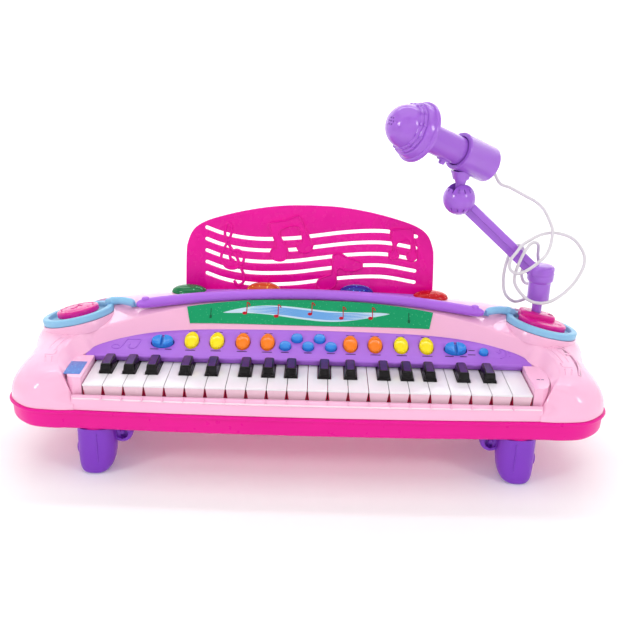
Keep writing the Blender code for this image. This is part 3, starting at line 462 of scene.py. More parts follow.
def lights():
    world = bpy.data.worlds.new("studio")
    world.use_nodes = True
    sky = world.node_tree.nodes["Background"].inputs
    sky["Color"].default_value = (1.0, 1.0, 1.0, 1.0)
    sky["Strength"].default_value = 0.3
    bpy.context.scene.world = world
    bpy.context.scene.view_settings.view_transform = "Standard"
    middle = (0.0, 0.0, 0.06)
    area_light("top_box", (0.0, -0.1, 1.25), middle, (1.5, 0.9), 4.4)
    area_light("left_box", (-0.95, -0.75, 0.75), middle, (0.22, 0.34), 3.2)
    area_light("right_box", (0.95, -0.75, 0.75), middle, (0.22, 0.34), 2.6)
    area_light("front_fill", (0.0, -1.5, 0.5), middle, (1.6, 0.6), 0.9)
    area_light("backdrop_wash", (0.0, 1.5, 2.4), (0.0, 2.9, 0.7), (3.0, 0.8), 60.0)


# ---------------------------------------------------------------- places that the part's own script gives
KEY_PITCH = 16.5
WHITE_KEYS = 22
BLACK_AFTER = (1, 2, 3, 5, 6, 8, 9, 10, 12, 13, 15, 16, 17, 19, 20)
KEY_ROW = KEY_PITCH * WHITE_KEYS
KEY_GAP = 0.5
KEY_LENGTH = 70.0
WHITE_FRONT_DROP = 10.0
WHITE_REAR_DROP = 6.0
BLACK_SPREAD = (-2.8, 2.4)
BLACK_FRONT = 22.0
BLACK_REAR = 45.8
BLACK_BASE_WIDTH = 10.4
BLACK_HEIGHT = 7.5
SKIN = 2.4
RIM_Z = -19.0
TRAY_FLOOR_Z = -37.0
FLOOR_Z = -79.0
CHEEK_Z = 5.5
CHEEK_X = KEY_ROW / 2 + 1.8
PANEL_FRONT_Y = 47.0
PANEL_FRONT_Z = 5.2
PANEL_SLOPE = math.radians(20.0)
PANEL_SKIN = 2.3
BUTTON_ROW_V = 19.2
EGG_X = (36.0, 57.5, 80.0, 102.0)
EGG_V = BUTTON_ROW_V + 1.8
ROUND_BUTTONS = ((-20.5, 16.5), (-10.6, 26.6), (-0.7, 16.5), (9.2, 26.6), (19.1, 16.5))
ROCKER_X = 127.0
POWER_X = 151.0
POWER_V = 15.0
DISC_X = 207.0
DISC_Y = 93.0
DISC_Z = 28.0
DISC_ROLL = math.radians(12.0)
DISC_PITCH = math.radians(5.5)
RING_OUTER = 31.5
RING_INNER = 26.0
RING_HEIGHT = 6.0
DISH_FLOOR = 1.5
DRUM_RADIUS = 18.5
SOCKET_RADIUS = 21.0
BAR_HALF = 154.0
DOME_X = (-112.0, -43.5, 42.0, 110.5)
DOME_Y = 126.5
STAND_THICK = 3.0
POST = Vector((203.6, 104.0, 0.0))
POST_FOOT_Z = 28.0
CUFF_BOTTOM_Z = 45.7
CUFF_TOP_Z = 62.5
CAP_TOP_Z = 78.5
CUFF_RADIUS = 9.75
BALL = Vector((126.0, 104.0, 135.5))
BALL_RADIUS = 13.5
TONGUE_RADIUS = 5.0
TONGUE_HALF = 4.6
MIC_TAIL_DIR = Vector((0.815, 0.43, -0.39)).normalized()
CLIP_AXIS_POINT = BALL + Vector((1.0, 0.0, 39.0))
CLIP_FRONT = -7.3
CLIP_REAR = 29.2
CLIP_OUTER = 16.0
MIC_RADIUS = 12.0
MIC_FLANGE = -51.7
CORD_DIAMETER = 2.8
CORD_ROUTE = (
    # after the microphone's tail: a high arc that falls on the player's side of the post
    (163, 121.5, 146.5), (173, 124.5, 142), (187, 125, 135), (197, 124, 130), (204, 121, 124),
    (209, 116, 115), (211, 110, 108), (209, 102, 100), (206, 96, 94), (201, 90, 89),
    # across the front of the cap, and up again over the arm's foot
    (191, 85.6, 81.5), (180, 84.6, 75.5), (172.6, 87, 78), (172.6, 91, 85), (178, 94, 92), (185, 100, 98),
    # the wide loop out to the right, and back in front of the post
    (203, 111, 104), (218, 115, 104), (232, 113, 99), (241, 107, 86), (238, 101, 73),
    (225, 93, 58), (208, 87, 49), (193, 90, 49), (181, 92, 60), (178, 92, 71),
    # up past the arm's foot, then down behind the cap and round
    (183, 94, 88), (191, 100, 98), (199, 107, 96), (202, 114, 83), (206, 120.5, 70),
    (208, 126, 61), (204.5, 129.5, 53), (197, 130, 52.5), (192.5, 127.5, 61), (192, 122.5, 77),
    # behind the arm, the small loop on the left, and in behind the post
    (188.5, 118, 89), (182, 115.3, 92), (176, 112.5, 85), (172, 108.5, 67), (174.5, 109, 50), (185, 115, 39.5),
    (197.5, 120.5, 41), (204, 119, 49),
)


def disc_matrix(side):
    """Takes a shape drawn about Z, with zero at the ring's top, to the left or right disc."""
    tilt = Matrix.Rotation(side * DISC_ROLL, 4, "Y") @ Matrix.Rotation(-DISC_PITCH, 4, "X")
    return shift(side * DISC_X, DISC_Y, DISC_Z) @ tilt


def panel_matrix():
    return shift(0.0, PANEL_FRONT_Y, PANEL_FRONT_Z) @ Matrix.Rotation(PANEL_SLOPE, 4, "X")


def stand_matrix():
    return shift(-1.5, 140.0, 36.0) @ Matrix.Rotation(math.radians(83.0), 4, "X")


def ridge(x):
    return Vector((x, 108.0 - 0.00075 * x * x, 43.6 - 0.00031 * x * x))


def lens_base(x):
    return 38.7 - 0.00016 * x * x


def tilt_matrix():
    return Matrix.Translation(BALL) @ Matrix.Rotation(math.atan2(MIC_TAIL_DIR.y, MIC_TAIL_DIR.x), 4, "Z")


def clip_matrix():
    return axis_matrix(CLIP_AXIS_POINT, MIC_TAIL_DIR)


# ---------------------------------------------------------------- the cord
CORD_POINTS = 300
CORD_SPLIT = 21
CORD_END_Z = 53.0
CORD_BLEND_END = np.array((170.0, 121.0, 115.0))


def cords():
    """The cord is one line, in two pieces that meet where it has left the holder."""
    tail = CLIP_AXIS_POINT + MIC_TAIL_DIR * CLIP_REAR
    plug = (POST.x, POST.y + CUFF_RADIUS + 3 * GAP, CORD_END_Z)
    line = even_curve([tuple(tail), tuple(tail + MIC_TAIL_DIR * 4.0), *CORD_ROUTE, plug], CORD_POINTS)
    lead, rest = line[: CORD_SPLIT + 1], line[CORD_SPLIT:]
    for name, part, bodies, ends in (
        ("mic_cord_lead", lead, ("microphone", "mic_holder"), (lead[0], lead[-1])),
        ("mic_cord_loops", rest, ("mic_holder", "mic_arm"), (rest[0], CORD_BLEND_END)),
    ):
        bm = tube(part, CORD_DIAMETER / 2, 14)
        piece = place(name, bm, CORD_WHITE, None, "cord_white", "mic_cord", smooth=60)
        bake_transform(piece)
    relief = turned([(3.6, -1.0), (3.6, 1.5), (3.0, 3.0), (2.6, 6.0), (2.0, 8.0), (1.7, 8.4)], 24)
    relief.transform(axis_matrix(tail, MIC_TAIL_DIR))
    place("mic_strain_relief", relief, CORD_WHITE, "microphone", "cord_white")
    collar = turned([(3.4, -1.2), (3.4, 1.0), (2.8, 2.0), (2.2, 3.2), (1.7, 3.6)], 24)
    collar.transform(axis_matrix((POST.x, POST.y + CUFF_RADIUS, CORD_END_Z), (0.0, 1.0, -0.15)))
    place("cord_collar", collar, MIC_PURPLE, "mic_arm", "purple_shell")


# ---------------------------------------------------------------- housings
STATIONS = (
    # rim x, y     crest x, y, z          foot x, y, z          full  crown skin
    (187.0, -9.0, 187.5, -6.5, -14.0, 186.0, -5.0, -16.0, 2.2, 0.0, 0.8),
    (204.0, -9.5, 191.5, 0.0, -7.0, 189.5, 1.0, -11.0, 2.2, 0.0, 1.2),
    (226.0, -5.5, 198.0, 4.5, 6.0, 196.0, 6.0, 1.0, 2.2, 0.0, 2.0),
    (243.0, 11.0, 205.0, 17.0, 9.5, 198.5, 17.0, 5.1, 2.3, 0.0, 2.4),
    (246.0, 30.0, 207.0, 31.0, 12.5, 198.5, 31.0, 5.0, 2.4, 0.0, 2.4),
    (243.0, 50.0, 205.5, 45.0, 15.0, 196.5, 42.0, 5.1, 2.6, 0.0, 2.4),
    (242.0, 68.0, 201.0, 55.0, 17.0, 190.5, 49.0, 5.9, 3.0, 1.0, 2.4),
    (244.0, 88.0, 190.0, 64.5, 20.0, 184.0, 58.0, 9.2, 3.8, 3.0, 2.4),
    (238.0, 112.0, 172.5, 73.0, 23.5, 168.0, 66.5, 12.3, 4.5, 4.0, 2.4),
    (212.0, 132.0, 141.0, 86.3, 28.8, 142.0, 75.0, 15.4, 4.5, 5.0, 2.4),
    (165.0, 145.0, 105.0, 94.0, 34.5, 106.0, 80.5, 17.4, 5.0, 2.0, 2.4),
    (90.0, 149.0, 55.0, 100.5, 38.0, 55.0, 82.7, 18.2, 5.0, 0.0, 2.4),
    (0.0, 150.0, 0.0, 102.6, 38.7, 0.0, 83.6, 18.5, 5.0, 0.0, 2.4),
)
HALF_STATIONS = 97
BULGE_STEPS = 14
LEDGE_WIDTH = 2.4
PANEL_STEP = 2.9
PANEL_STATION = 6
CREST_ROUND = 1.5
RIM_POINTS = 300
LIP_HALF = 189.0
LIP_BACK = -2.3
GROOVE_RADIUS = 0.75
GROOVE_LIFT = 0.25
GROOVE_STEP = 1.6


def all_stations(half_count):
    """Stations from the right front corner round to the left; the last column is the wall's upright folds."""
    right = smooth_curve(STATIONS, half_count)
    t = np.linspace(0, len(STATIONS) - 1, half_count)
    folds = 1.3 * np.exp(-(((t - 6.45) / 0.22) ** 2)) - 0.7 * np.exp(-(((t - 7.0) / 0.2) ** 2))
    right = np.column_stack([right, folds])
    left = right[-2::-1].copy()
    left[:, (0, 2, 5)] *= -1
    return np.vstack([right, left])


def section(station):
    """The closed outline of the housing's shell at one station."""
    rim = np.array((station[0], station[1], RIM_Z + GAP))
    crest = station[2:5]
    foot = station[5:8]
    full, crown, skin, fold = station[8:12]
    inward = np.array((crest[0] - rim[0], crest[1] - rim[1], 0.0))
    inward /= np.linalg.norm(inward)
    floorward = np.array((foot[0] - crest[0], foot[1] - crest[1], 0.0))
    floorward /= np.linalg.norm(floorward)
    drop = np.array((0.0, 0.0, 1.0))

    def bulge(low, high, lift):
        points = []
        for k in range(BULGE_STEPS + 1):
            turn = math.pi / 2 * k / BULGE_STEPS
            along = 1 - math.cos(turn) ** (2 / full)
            up = math.sin(turn) ** (2 / full)
            point = low + (high - low) * along
            point[2] = low[2] + (high[2] - low[2]) * up + lift * 4 * along * (1 - along)
            points.append(point)
        return points

    step_down = PANEL_STEP * skin / SKIN
    under = step_down + 0.9 * skin
    ledge = floorward * LEDGE_WIDTH * skin / SKIN
    ledge += drop * ledge[1] * math.tan(PANEL_SLOPE)
    outer = bulge(rim, crest, crown)
    inner = bulge(rim + inward * skin, crest - floorward * 0.9 * skin - drop * skin, crown)
    reach = min(CREST_ROUND, 0.4 * np.linalg.norm(foot - crest), 0.4 * np.linalg.norm(rim - crest))
    back = outer[-2] - crest
    back = crest + back / max(1e-6, np.linalg.norm(back)) * reach
    down = crest + (foot - crest) / np.linalg.norm(foot - crest) * reach
    arc = [(1 - t) ** 2 * back + 2 * t * (1 - t) * crest + t * t * down for t in (0.0, 0.25, 0.5, 0.75, 1.0)]
    wall_points = [
        down + (foot - down) * t + floorward * fold * math.sin(math.pi * (0.25 + 0.5 * t)) for t in (0.3, 0.6)
    ]
    outer = [p for p in outer[:-1] if np.linalg.norm(p - crest) > reach * 1.2]
    outer += [outer[-1]] * (BULGE_STEPS - len(outer))
    wall = [
        foot + floorward * 0.6 * fold,
        foot - drop * step_down,
        foot + ledge - drop * step_down,
        foot + ledge - drop * under,
        foot - floorward * skin - drop * under,
    ]
    points = outer + arc + wall_points + wall + inner[::-1]
    return [np.array((p[0], p[1], max(p[2], RIM_Z + GAP))) for p in points]


def rim_outline(inset, count):
    """The rim's closed outline, moved inwards, at even distances from the front middle."""
    side = [row[:2] for row in STATIONS]
    right = [(0.0, -13.0), (95.0, -12.0)] + side
    half = even_curve(right, count // 2 + 1)
    return grown(np.vstack([half, (half[-2:0:-1]) * (-1, 1)]), -inset)


STAFF_LINES = (
    # plan points on the right shoulder, from the front to the ring
    ((222.5, 20.5), (225.5, 34.0), (225.5, 46.0), (221.5, 55.5), (214.5, 61.5)),
    ((216.0, 20.0), (218.3, 28.0)),
    ((218.5, 39.5), (216.5, 49.0), (212.0, 56.0), (206.0, 60.5)),
    ((210.5, 19.5), (212.3, 27.5)),
    ((212.8, 37.0), (210.5, 47.0), (206.5, 55.0), (199.0, 61.0)),
)
CHEEK_OUTLINE = (
    (182.1, 0.5), (189.0, 0.5), (193.5, 4.0), (196.4, 10.0), (198.4, 18.0), (199.0, 30.0), (198.0, 39.0),
    (194.5, 46.6), (182.1, 46.6),
)
SHOULDER_NOTE = (
    ((210.8, 36.0), (210.6, 32.0), (213.0, 29.8), (216.0, 30.4), (219.5, 31.2)),
    ((219.5, 50.5), (222.0, 51.8), (224.0, 51.6)),
)


def shoulder_grooves(shell):
    """The engraved lines on both shoulders; a line stops where it would climb the ring's seat."""
    surface = BVHTree.FromBMesh(shell)
    grooves = []
    for side in (-1, 1):
        for line in STAFF_LINES + SHOULDER_NOTE:
            runs = [[]]
            for x, y in even_curve(line, 4 * len(line)):
                hit = surface.ray_cast(Vector((side * x, y, 90.0)), Vector((0.0, 0.0, -1.0)))[0]
                if runs[-1] and abs(hit.z - runs[-1][-1].z) > GROOVE_STEP:
                    runs.append([])
                runs[-1].append(hit + Vector((0.0, 0.0, GROOVE_LIFT)))
            grooves.append(tube(max(runs, key=len), GROOVE_RADIUS))
    return joined(*grooves)


def lip_depth(x):
    """How much of its full depth the lip in front of the keys has at x."""
    return 1 - 0.4 * (x / LIP_HALF) ** 2


def lip():
    under = RIM_Z + 1.4 * GAP
    profile = [
        (-12.6, under), (-12.1, -17.2), (-10.9, -14.6), (-9.7, -12.4), (-8.5, -10.4), (-7.6, -9.2),
        (-6.7, -8.4), (-5.7, -8.0), (-3.2, -7.9), (-2.6, -8.0), (LIP_BACK, -8.5), (LIP_BACK, under),
    ]
    return loft([
        [(x, LIP_BACK + (y - LIP_BACK) * lip_depth(x), z) for y, z in profile]
        for x in np.linspace(-LIP_HALF, LIP_HALF, 61)
    ])


def upper_housing():
    shell = loft([section(station) for station in all_stations(HALF_STATIONS)])
    bmesh.ops.remove_doubles(shell, verts=shell.verts, dist=0.005)
    seats, pockets = [], []
    for side in (-1, 1):
        seat = [
            (RING_OUTER + 1, -RING_HEIGHT - 9), (RING_OUTER + 1, -RING_HEIGHT - 0.7),
            (RING_OUTER + 0.7, -RING_HEIGHT - 0.1), (RING_OUTER, -RING_HEIGHT),
        ]
        seats.append(turned(seat, 96, disc_matrix(side)))
        pocket = [(RING_OUTER + GAP, -RING_HEIGHT - GAP), (RING_OUTER + GAP, 12.0)]
        pockets.append(turned(pocket, 96, disc_matrix(side)))
    shell = carve(shell, joined(*seats), "UNION")
    slot = moved(box((-93.5, -14.0, -0.5), (93.5, 30.0, STAND_THICK + 0.5)), stand_matrix())
    shell = carve(shell, joined(*pockets, slot))
    shell = carve(shell, shoulder_grooves(shell))
    # painted highlight: a bead in paler pink along the lip's front edge stands for the line of light on it
    ledge = [Vector((x, -8.9 * lip_depth(x), -10.1)) for x in np.linspace(-LIP_HALF + 1, LIP_HALF - 1, 61)]
    place("lip_highlight_bead", tube(ledge, 0.8, 12), LIP_HIGHLIGHT_PINK, "housing", "pink_shell")
    parts = [shell, lip()]
    for number in range(2, WHITE_KEYS + 1):
        x = key_left(number)
        parts.append(rounded(box((x - 0.5, -9.0, -9.8), (x + 0.5, -5.2, -7.55)), 0.2))
    for side in (-1, 1):
        parts.append(rounded(prism([(side * x, y) for x, y in CHEEK_OUTLINE], -18.4, CHEEK_Z), 0.9, 3))
    place("pink_shell", joined(*parts), PINK, "housing", "pink_shell", "upper_housing", smooth=32)


def lower_housing():
    rows = (
        # inset from the rim's outline, height: down the outside, then up the inside
        (-1.0, RIM_Z), (-1.5, RIM_Z - 0.2), (-1.9, RIM_Z - 0.9), (-1.9, RIM_Z - 2.0), (-1.6, RIM_Z - 2.7),
        (-0.6, RIM_Z - 3.2), (0.2, RIM_Z - 3.5), (0.3, RIM_Z - 4.6), (0.5, RIM_Z - 9.0), (0.8, TRAY_FLOOR_Z + 3.6),
        (1.4, TRAY_FLOOR_Z + 1.8), (2.6, TRAY_FLOOR_Z + 0.6), (4.6, TRAY_FLOOR_Z), (9.0, TRAY_FLOOR_Z),
        (10.0, TRAY_FLOOR_Z + SKIN), (5.0, TRAY_FLOOR_Z + 4.6), (3.2, RIM_Z - 4.0), (2.6, RIM_Z),
    )
    lowest = 13
    bm = bmesh.new()
    rings = [[bm.verts.new((x, y, z)) for x, y in rim_outline(inset, RIM_POINTS)] for inset, z in rows]
    for first, second in zip(rings, rings[1:] + rings[:1]):
        if first is not rings[lowest]:
            band(bm, first, second)
    bm.faces.new(rings[lowest])
    bm.faces.new(rings[lowest + 1])
    inside = TRAY_FLOOR_Z + SKIN - 0.5
    tools = [box((-118.0, 84.0, TRAY_FLOOR_Z - 3), (-38.0, 132.0, inside + 3))]
    for row in range(-4, 5):
        reach = math.sqrt(max(0.0, 19.0**2 - (4.2 * row) ** 2))
        slit = oval(reach, 1.2, 28, 0.35)
        tools.append(prism([(x + 88.0, y + 37.0 + 4.2 * row) for x, y in slit], TRAY_FLOOR_Z - 3, inside - 0.6))
    for x, y in SCREW_PLACES:
        tools.append(turned([(3.6, TRAY_FLOOR_Z - 3), (3.4, TRAY_FLOOR_Z + 1.4)], 24, shift(x, y)))
    half = KEY_ROW / 2
    parts = [
        carve(bm, joined(*tools)),
        box((-half, 62.0, inside), (half, KEY_LENGTH, -WHITE_REAR_DROP - 1.9)),
        box((-half - 1, 6.0, inside), (half + 1, 11.0, -15.6)),
    ]
    boss = [(radius, TRAY_FLOOR_Z + z) for radius, z in ((12.0, -1.4), (12.8, -1.2), (13.4, -0.4), (13.4, 1.0))]
    parts += [moved(turned(boss, 48), shift(side * 173.0, 6.0)) for side in (-1, 1)]
    place("magenta_tray", joined(*parts), MAGENTA, "housing", "magenta_shell", "lower_housing", smooth=32)


SCREW_PLACES = (
    (-210.0, 30.0), (210.0, 30.0), (-205.0, 95.0), (205.0, 95.0), (-60.0, 8.0), (60.0, 8.0), (20.0, 135.0),
    (130.0, 130.0), (-140.0, 125.0), (0.0, 60.0), (130.0, 66.0), (-140.0, 66.0),
)


def screws():
    """Pan-head screws in the tray's underside, each with a cross in its head."""
    parts = []
    for x, y in SCREW_PLACES:
        at = shift(x, y, TRAY_FLOOR_Z + 0.9)
        head = turned([(2.7, 0.8), (2.7, -0.2), (2.3, -0.8), (1.2, -1.1)], 24, at)
        for half_x, half_y in ((1.5, 0.25), (0.25, 1.5)):
            head = carve(head, moved(box((-half_x, -half_y, -2.0), (half_x, half_y, -0.4)), at))
        parts.append(head)
    place("case_screws", joined(*parts), STEEL, "housing", "magenta_shell")


def inside_and_underneath():
    """The circuit board and the battery door keep their CAD shapes, with softened edges."""
    for name, finish in (("circuit_board", BOARD), ("battery_door", MAGENTA)):
        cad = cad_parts[name]
        cad.data.materials.clear()
        cad.data.materials.append(finish)
        weld = cad.modifiers.new("weld", "WELD")
        weld.merge_threshold = 0.00001
        soft = cad.modifiers.new("soft edges", "BEVEL")
        soft.width = 0.0003
        soft.segments = 2
        soft.limit_method = "ANGLE"
        soft.angle_limit = math.radians(40.0)
    ribs = [
        rounded(box((x - 0.7, 96.0, TRAY_FLOOR_Z - 0.9), (x + 0.7, 126.0, TRAY_FLOOR_Z - 0.2)), 0.25)
        for x in np.linspace(-104.0, -52.0, 9)
    ]
    place("battery_door_ribs", joined(*ribs), MAGENTA, "housing", "magenta_shell")


def leg(name, side):
    top = TRAY_FLOOR_Z - 1.4 - GAP

    def foot(middle_y):
        levels = np.array((
            (TRAY_FLOOR_Z - 0.2, 157.0, 188.6, 14.0), (-50.0, 157.1, 188.6, 14.0), (-58.0, 157.5, 188.6, 14.0),
            (-67.0, 158.8, 188.4, 14.0), (-73.0, 160.8, 187.8, 13.8), (-76.8, 163.4, 186.6, 13.0),
            (-78.5, 166.4, 184.6, 11.6), (FLOOR_Z, 169.6, 182.4, 10.0),
        ))
        loops = []
        for height, inner, outer, half in smooth_curve(levels, 29):
            middle, z = (inner + outer) / 2, max(height, FLOOR_Z)
            sole = oval((outer - inner) / 2, half, 56, 0.75)
            loops.append([(side * (middle + x), middle_y + y, z) for x, y in sole])
        return loft(loops)

    parts = []
    for middle_y in (6.0, 112.0):
        parts.append(foot(middle_y))
        seam = [(side * 170.5, middle_y - 14.1 + 0.02 * (k - 5), top - 2.0 - 2.6 * k) for k in range(11)]
        parts.append(tube(seam, 0.45, 8))
        bump = bmesh.new()
        bmesh.ops.create_uvsphere(bump, u_segments=24, v_segments=12, radius=1.0)
        bump.transform(shift(side * 188.2, middle_y, -60.0) @ Matrix.Diagonal((2.4, 4.0, 6.0, 1.0)))
        parts.append(bump)
    mirror = Matrix.Scale(side, 4, (1, 0, 0))
    parts.append(moved(rounded(box((166.0, 10.0, top - 9.0), (180.0, 108.0, top - 0.4)), 1.2, 3), mirror))
    knuckle = turned(
        [(7.6, 0.0), (8.6, 0.4), (9.0, 1.4), (9.0, 15.6), (8.6, 16.6), (7.6, 17.0)], 48,
        axis_matrix((152.5, 4.0, top - 6.0), (0, 1, 0)),
    )
    recess = turned([(5.6, -2.0), (5.2, 5.0)], 8, axis_matrix((152.5, 4.0, top - 7.0), (0, 1, 0)))
    knuckle = carve(knuckle, recess)
    knuckle = carve(knuckle, box((130.0, -20.0, top - 0.4), (165.0, 30.0, top + 20.0)))
    arm = rounded(box((154.0, 6.0, top - 12.0), (162.0, 19.0, top - 0.4)), 1.0, 2)
    pin = turned([(2.2, 0.0), (2.2, 3.0), (1.6, 3.6)], 24, axis_matrix((152.5, 9.2, top - 7.0), (0, -1, 0)))
    parts += [moved(shape, mirror) for shape in (knuckle, arm, pin)]
    place(f"{name}_moulding", joined(*parts), LEG_PURPLE, "housing", "leg_purple", name, smooth=36)


# ---------------------------------------------------------------- keys
def key_left(number):
    return -KEY_ROW / 2 + (number - 1) * KEY_PITCH


def black_middle(after):
    """The outer keys of each group of black keys stand a little apart from it."""
    first, last = after - 1 not in BLACK_AFTER, after + 1 not in BLACK_AFTER
    return key_left(after + 1) + (BLACK_SPREAD[0] if first else BLACK_SPREAD[1] if last else 0.0)


def inset_outline(outline, inset):
    """An outline of square corners with every side moved inwards."""
    found = []
    count = len(outline)
    for i in range(count):
        before, here, after = (Vector(outline[k % count]) for k in (i - 1, i, i + 1))
        first, second = (here - before).normalized(), (after - here).normalized()
        found.append(tuple(here + (Vector((-first.y, first.x)) + Vector((-second.y, second.x))) * inset))
    return found


def white_key(number):
    left = key_left(number) + KEY_GAP / 2
    right = key_left(number + 1) - KEY_GAP / 2
    notch = BLACK_BASE_WIDTH / 2 + KEY_GAP
    outline = [(left, 0.0), (right, 0.0)]
    shoulder_y = BLACK_FRONT - KEY_GAP
    if number in BLACK_AFTER:
        shoulder = black_middle(number) - notch
        outline += [(right, shoulder_y), (shoulder, shoulder_y), (shoulder, KEY_LENGTH)]
    else:
        outline += [(right, KEY_LENGTH)]
    if number - 1 in BLACK_AFTER:
        shoulder = black_middle(number - 1) + notch
        outline += [(shoulder, KEY_LENGTH), (shoulder, shoulder_y), (left, shoulder_y)]
    else:
        outline += [(left, KEY_LENGTH)]
    middle = (left + right) / 2
    loops = []
    for inset, z in ((0.5, 0.0), (0.25, -0.04), (0.08, -0.16), (0.0, -0.36), (0.0, -1.5), (0.3, -1.7)):
        loops.append([(x, y, z) for x, y in inset_outline(outline, inset)])
    bottom = []
    for x, y in inset_outline(outline, 0.3):
        deep = WHITE_FRONT_DROP + (WHITE_REAR_DROP - WHITE_FRONT_DROP) * y / KEY_LENGTH
        at_front = y < 1.0
        draft = 1.25 if at_front else 0.1
        bottom.append((x + math.copysign(draft, middle - x), y + (0.4 if at_front else 0.0), -deep))
    loops.append(bottom)
    body = loft(loops)
    # painted shade: a dark red slab just behind the key's front face stands for the shade in the gaps between keys
    gap_shade = box((left + 0.15, 1.3, -WHITE_FRONT_DROP + 0.4), (right - 0.15, 3.4, -1.9))
    # the key's front face carries painted reflection of the pink lip and painted shade, darker than the key's top
    front = loft([
        [(left + narrow, y, z), (right - narrow, y, z), (right - narrow, y + 0.3, z), (left + narrow, y + 0.3, z)]
        for narrow, y, z in ((1.55, 0.62, -WHITE_FRONT_DROP + 0.2), (0.35, 0.25, -1.75))
    ])
    node = f"white_key_{number:02d}"
    place(f"{node}_top", joined(body, gap_shade, front, finish=[0, 1, 2]), [WHITE, KEY_GAP_SHADE, KEY_FRONT_SHADE_AND_REFLECTION], node,
          "key_white", node, smooth=30)


def key_loop(half, front, back, z, corner, middle):
    """A rounded rectangle for one level of a black key."""
    points = []
    for cx, cy, start in (
        (half - corner, back - corner, 0.0), (-half + corner, back - corner, 0.5),
        (-half + corner, front + corner, 1.0), (half - corner, front + corner, 1.5),
    ):
        for k in range(4):
            turn = math.pi * (start + k / 6)
            points.append((middle + cx + corner * math.cos(turn), cy + corner * math.sin(turn), z))
    return points


def black_key(index, after):
    middle = black_middle(after)
    levels = (
        # half width, front y, z, corner: the flange, its step, the sloped block and its soft top edge
        (5.2, BLACK_FRONT, -2.0, 0.4), (5.2, BLACK_FRONT, 1.5, 0.5), (5.05, 22.15, 1.9, 0.6), (4.75, 22.8, 2.05, 0.7),
        (4.6, 23.1, 2.4, 0.8), (4.15, 23.9, 6.4, 1.0), (3.95, 24.2, 7.1, 1.1), (3.5, 24.7, BLACK_HEIGHT, 1.1),
        (2.9, 25.4, BLACK_HEIGHT + 0.12, 1.0),
    )
    block = loft([key_loop(half, front, BLACK_REAR, z, corner, middle) for half, front, z, corner in levels])
    base = BLACK_BASE_WIDTH / 2
    stem = box((middle - base, BLACK_REAR - 1.0, -WHITE_REAR_DROP), (middle + base, KEY_LENGTH, 0.2))
    shank = box((middle - base, BLACK_FRONT + 0.3, -WHITE_REAR_DROP), (middle + base, BLACK_REAR, -1.5))
    # painted reflection: a thin purple cap on the key's top for the purple panel mirrored in its gloss
    painted_reflection_cap = loft([key_loop(2.9, 25.6, BLACK_REAR - 0.6, z, 0.8, middle) for z in (7.2, BLACK_HEIGHT + 0.17)])
    node = f"black_key_{index:02d}"
    place(f"{node}_top", joined(block, stem, shank, painted_reflection_cap, finish=[0, 0, 0, 1]), [BLACK, BLACK_TOP_REFLECTION], node,
          "key_black", node, smooth=34)


# ---------------------------------------------------------------- control panel and its buttons
def button_outlines():
    """Every button's hole in the panel, on its slope."""
    found = []
    for x in EGG_X:
        found += [(side * x, EGG_V, oval(6.6, 10.2, 40)) for side in (-1, 1)]
    found += [(x, v, oval(5.35, 5.35, 36)) for x, v in ROUND_BUTTONS]
    found.append((POWER_X, POWER_V, oval(4.2, 4.2, 32)))
    found += [(side * ROCKER_X, BUTTON_ROW_V - 1.0, oval(10.1, 7.4, 48)) for side in (-1, 1)]
    return [[(px + x, py + v) for px, py in outline] for x, v, outline in found]


def panel_outline(inset):
    feet = all_stations(HALF_STATIONS)[:, 5:7]
    first = int(PANEL_STATION * (HALF_STATIONS - 1) / (len(STATIONS) - 1))
    back = feet[first : len(feet) - first] - (0.0, PANEL_FRONT_Y)
    back[:, 1] /= math.cos(PANEL_SLOPE)
    middle = np.array((0.0, 12.0))
    reach = np.linalg.norm(back - middle, axis=1)[:, None]
    back = middle + (back - middle) * (1 - inset / reach)
    return [(-back[0][0], 0.0), (back[0][0], 0.0)] + [tuple(point) for point in back]


PANEL_STROKES = (
    # embossed lines on the panel: a beamed pair of notes on the left, a clef with two dots on the right
    ((-163.5, 12.5), (-165.5, 14.2), (-168.6, 13.8), (-170.0, 11.6), (-168.4, 9.6), (-165.0, 9.2), (-162.4, 10.6),
     (-160.6, 14.0), (-158.4, 20.4), (-157.0, 21.4), (-147.6, 21.4), (-146.2, 20.2), (-147.6, 14.6), (-149.2, 11.0),
     (-152.0, 9.6), (-154.8, 10.6), (-155.8, 13.2), (-154.2, 15.0)),
    ((162.2, 17.0), (164.6, 15.2), (166.4, 16.8), (165.4, 19.4), (167.8, 19.8), (170.2, 17.6), (170.2, 13.6),
     (168.0, 10.4), (164.6, 8.6)),
)
LABEL_LENGTH = 9.0


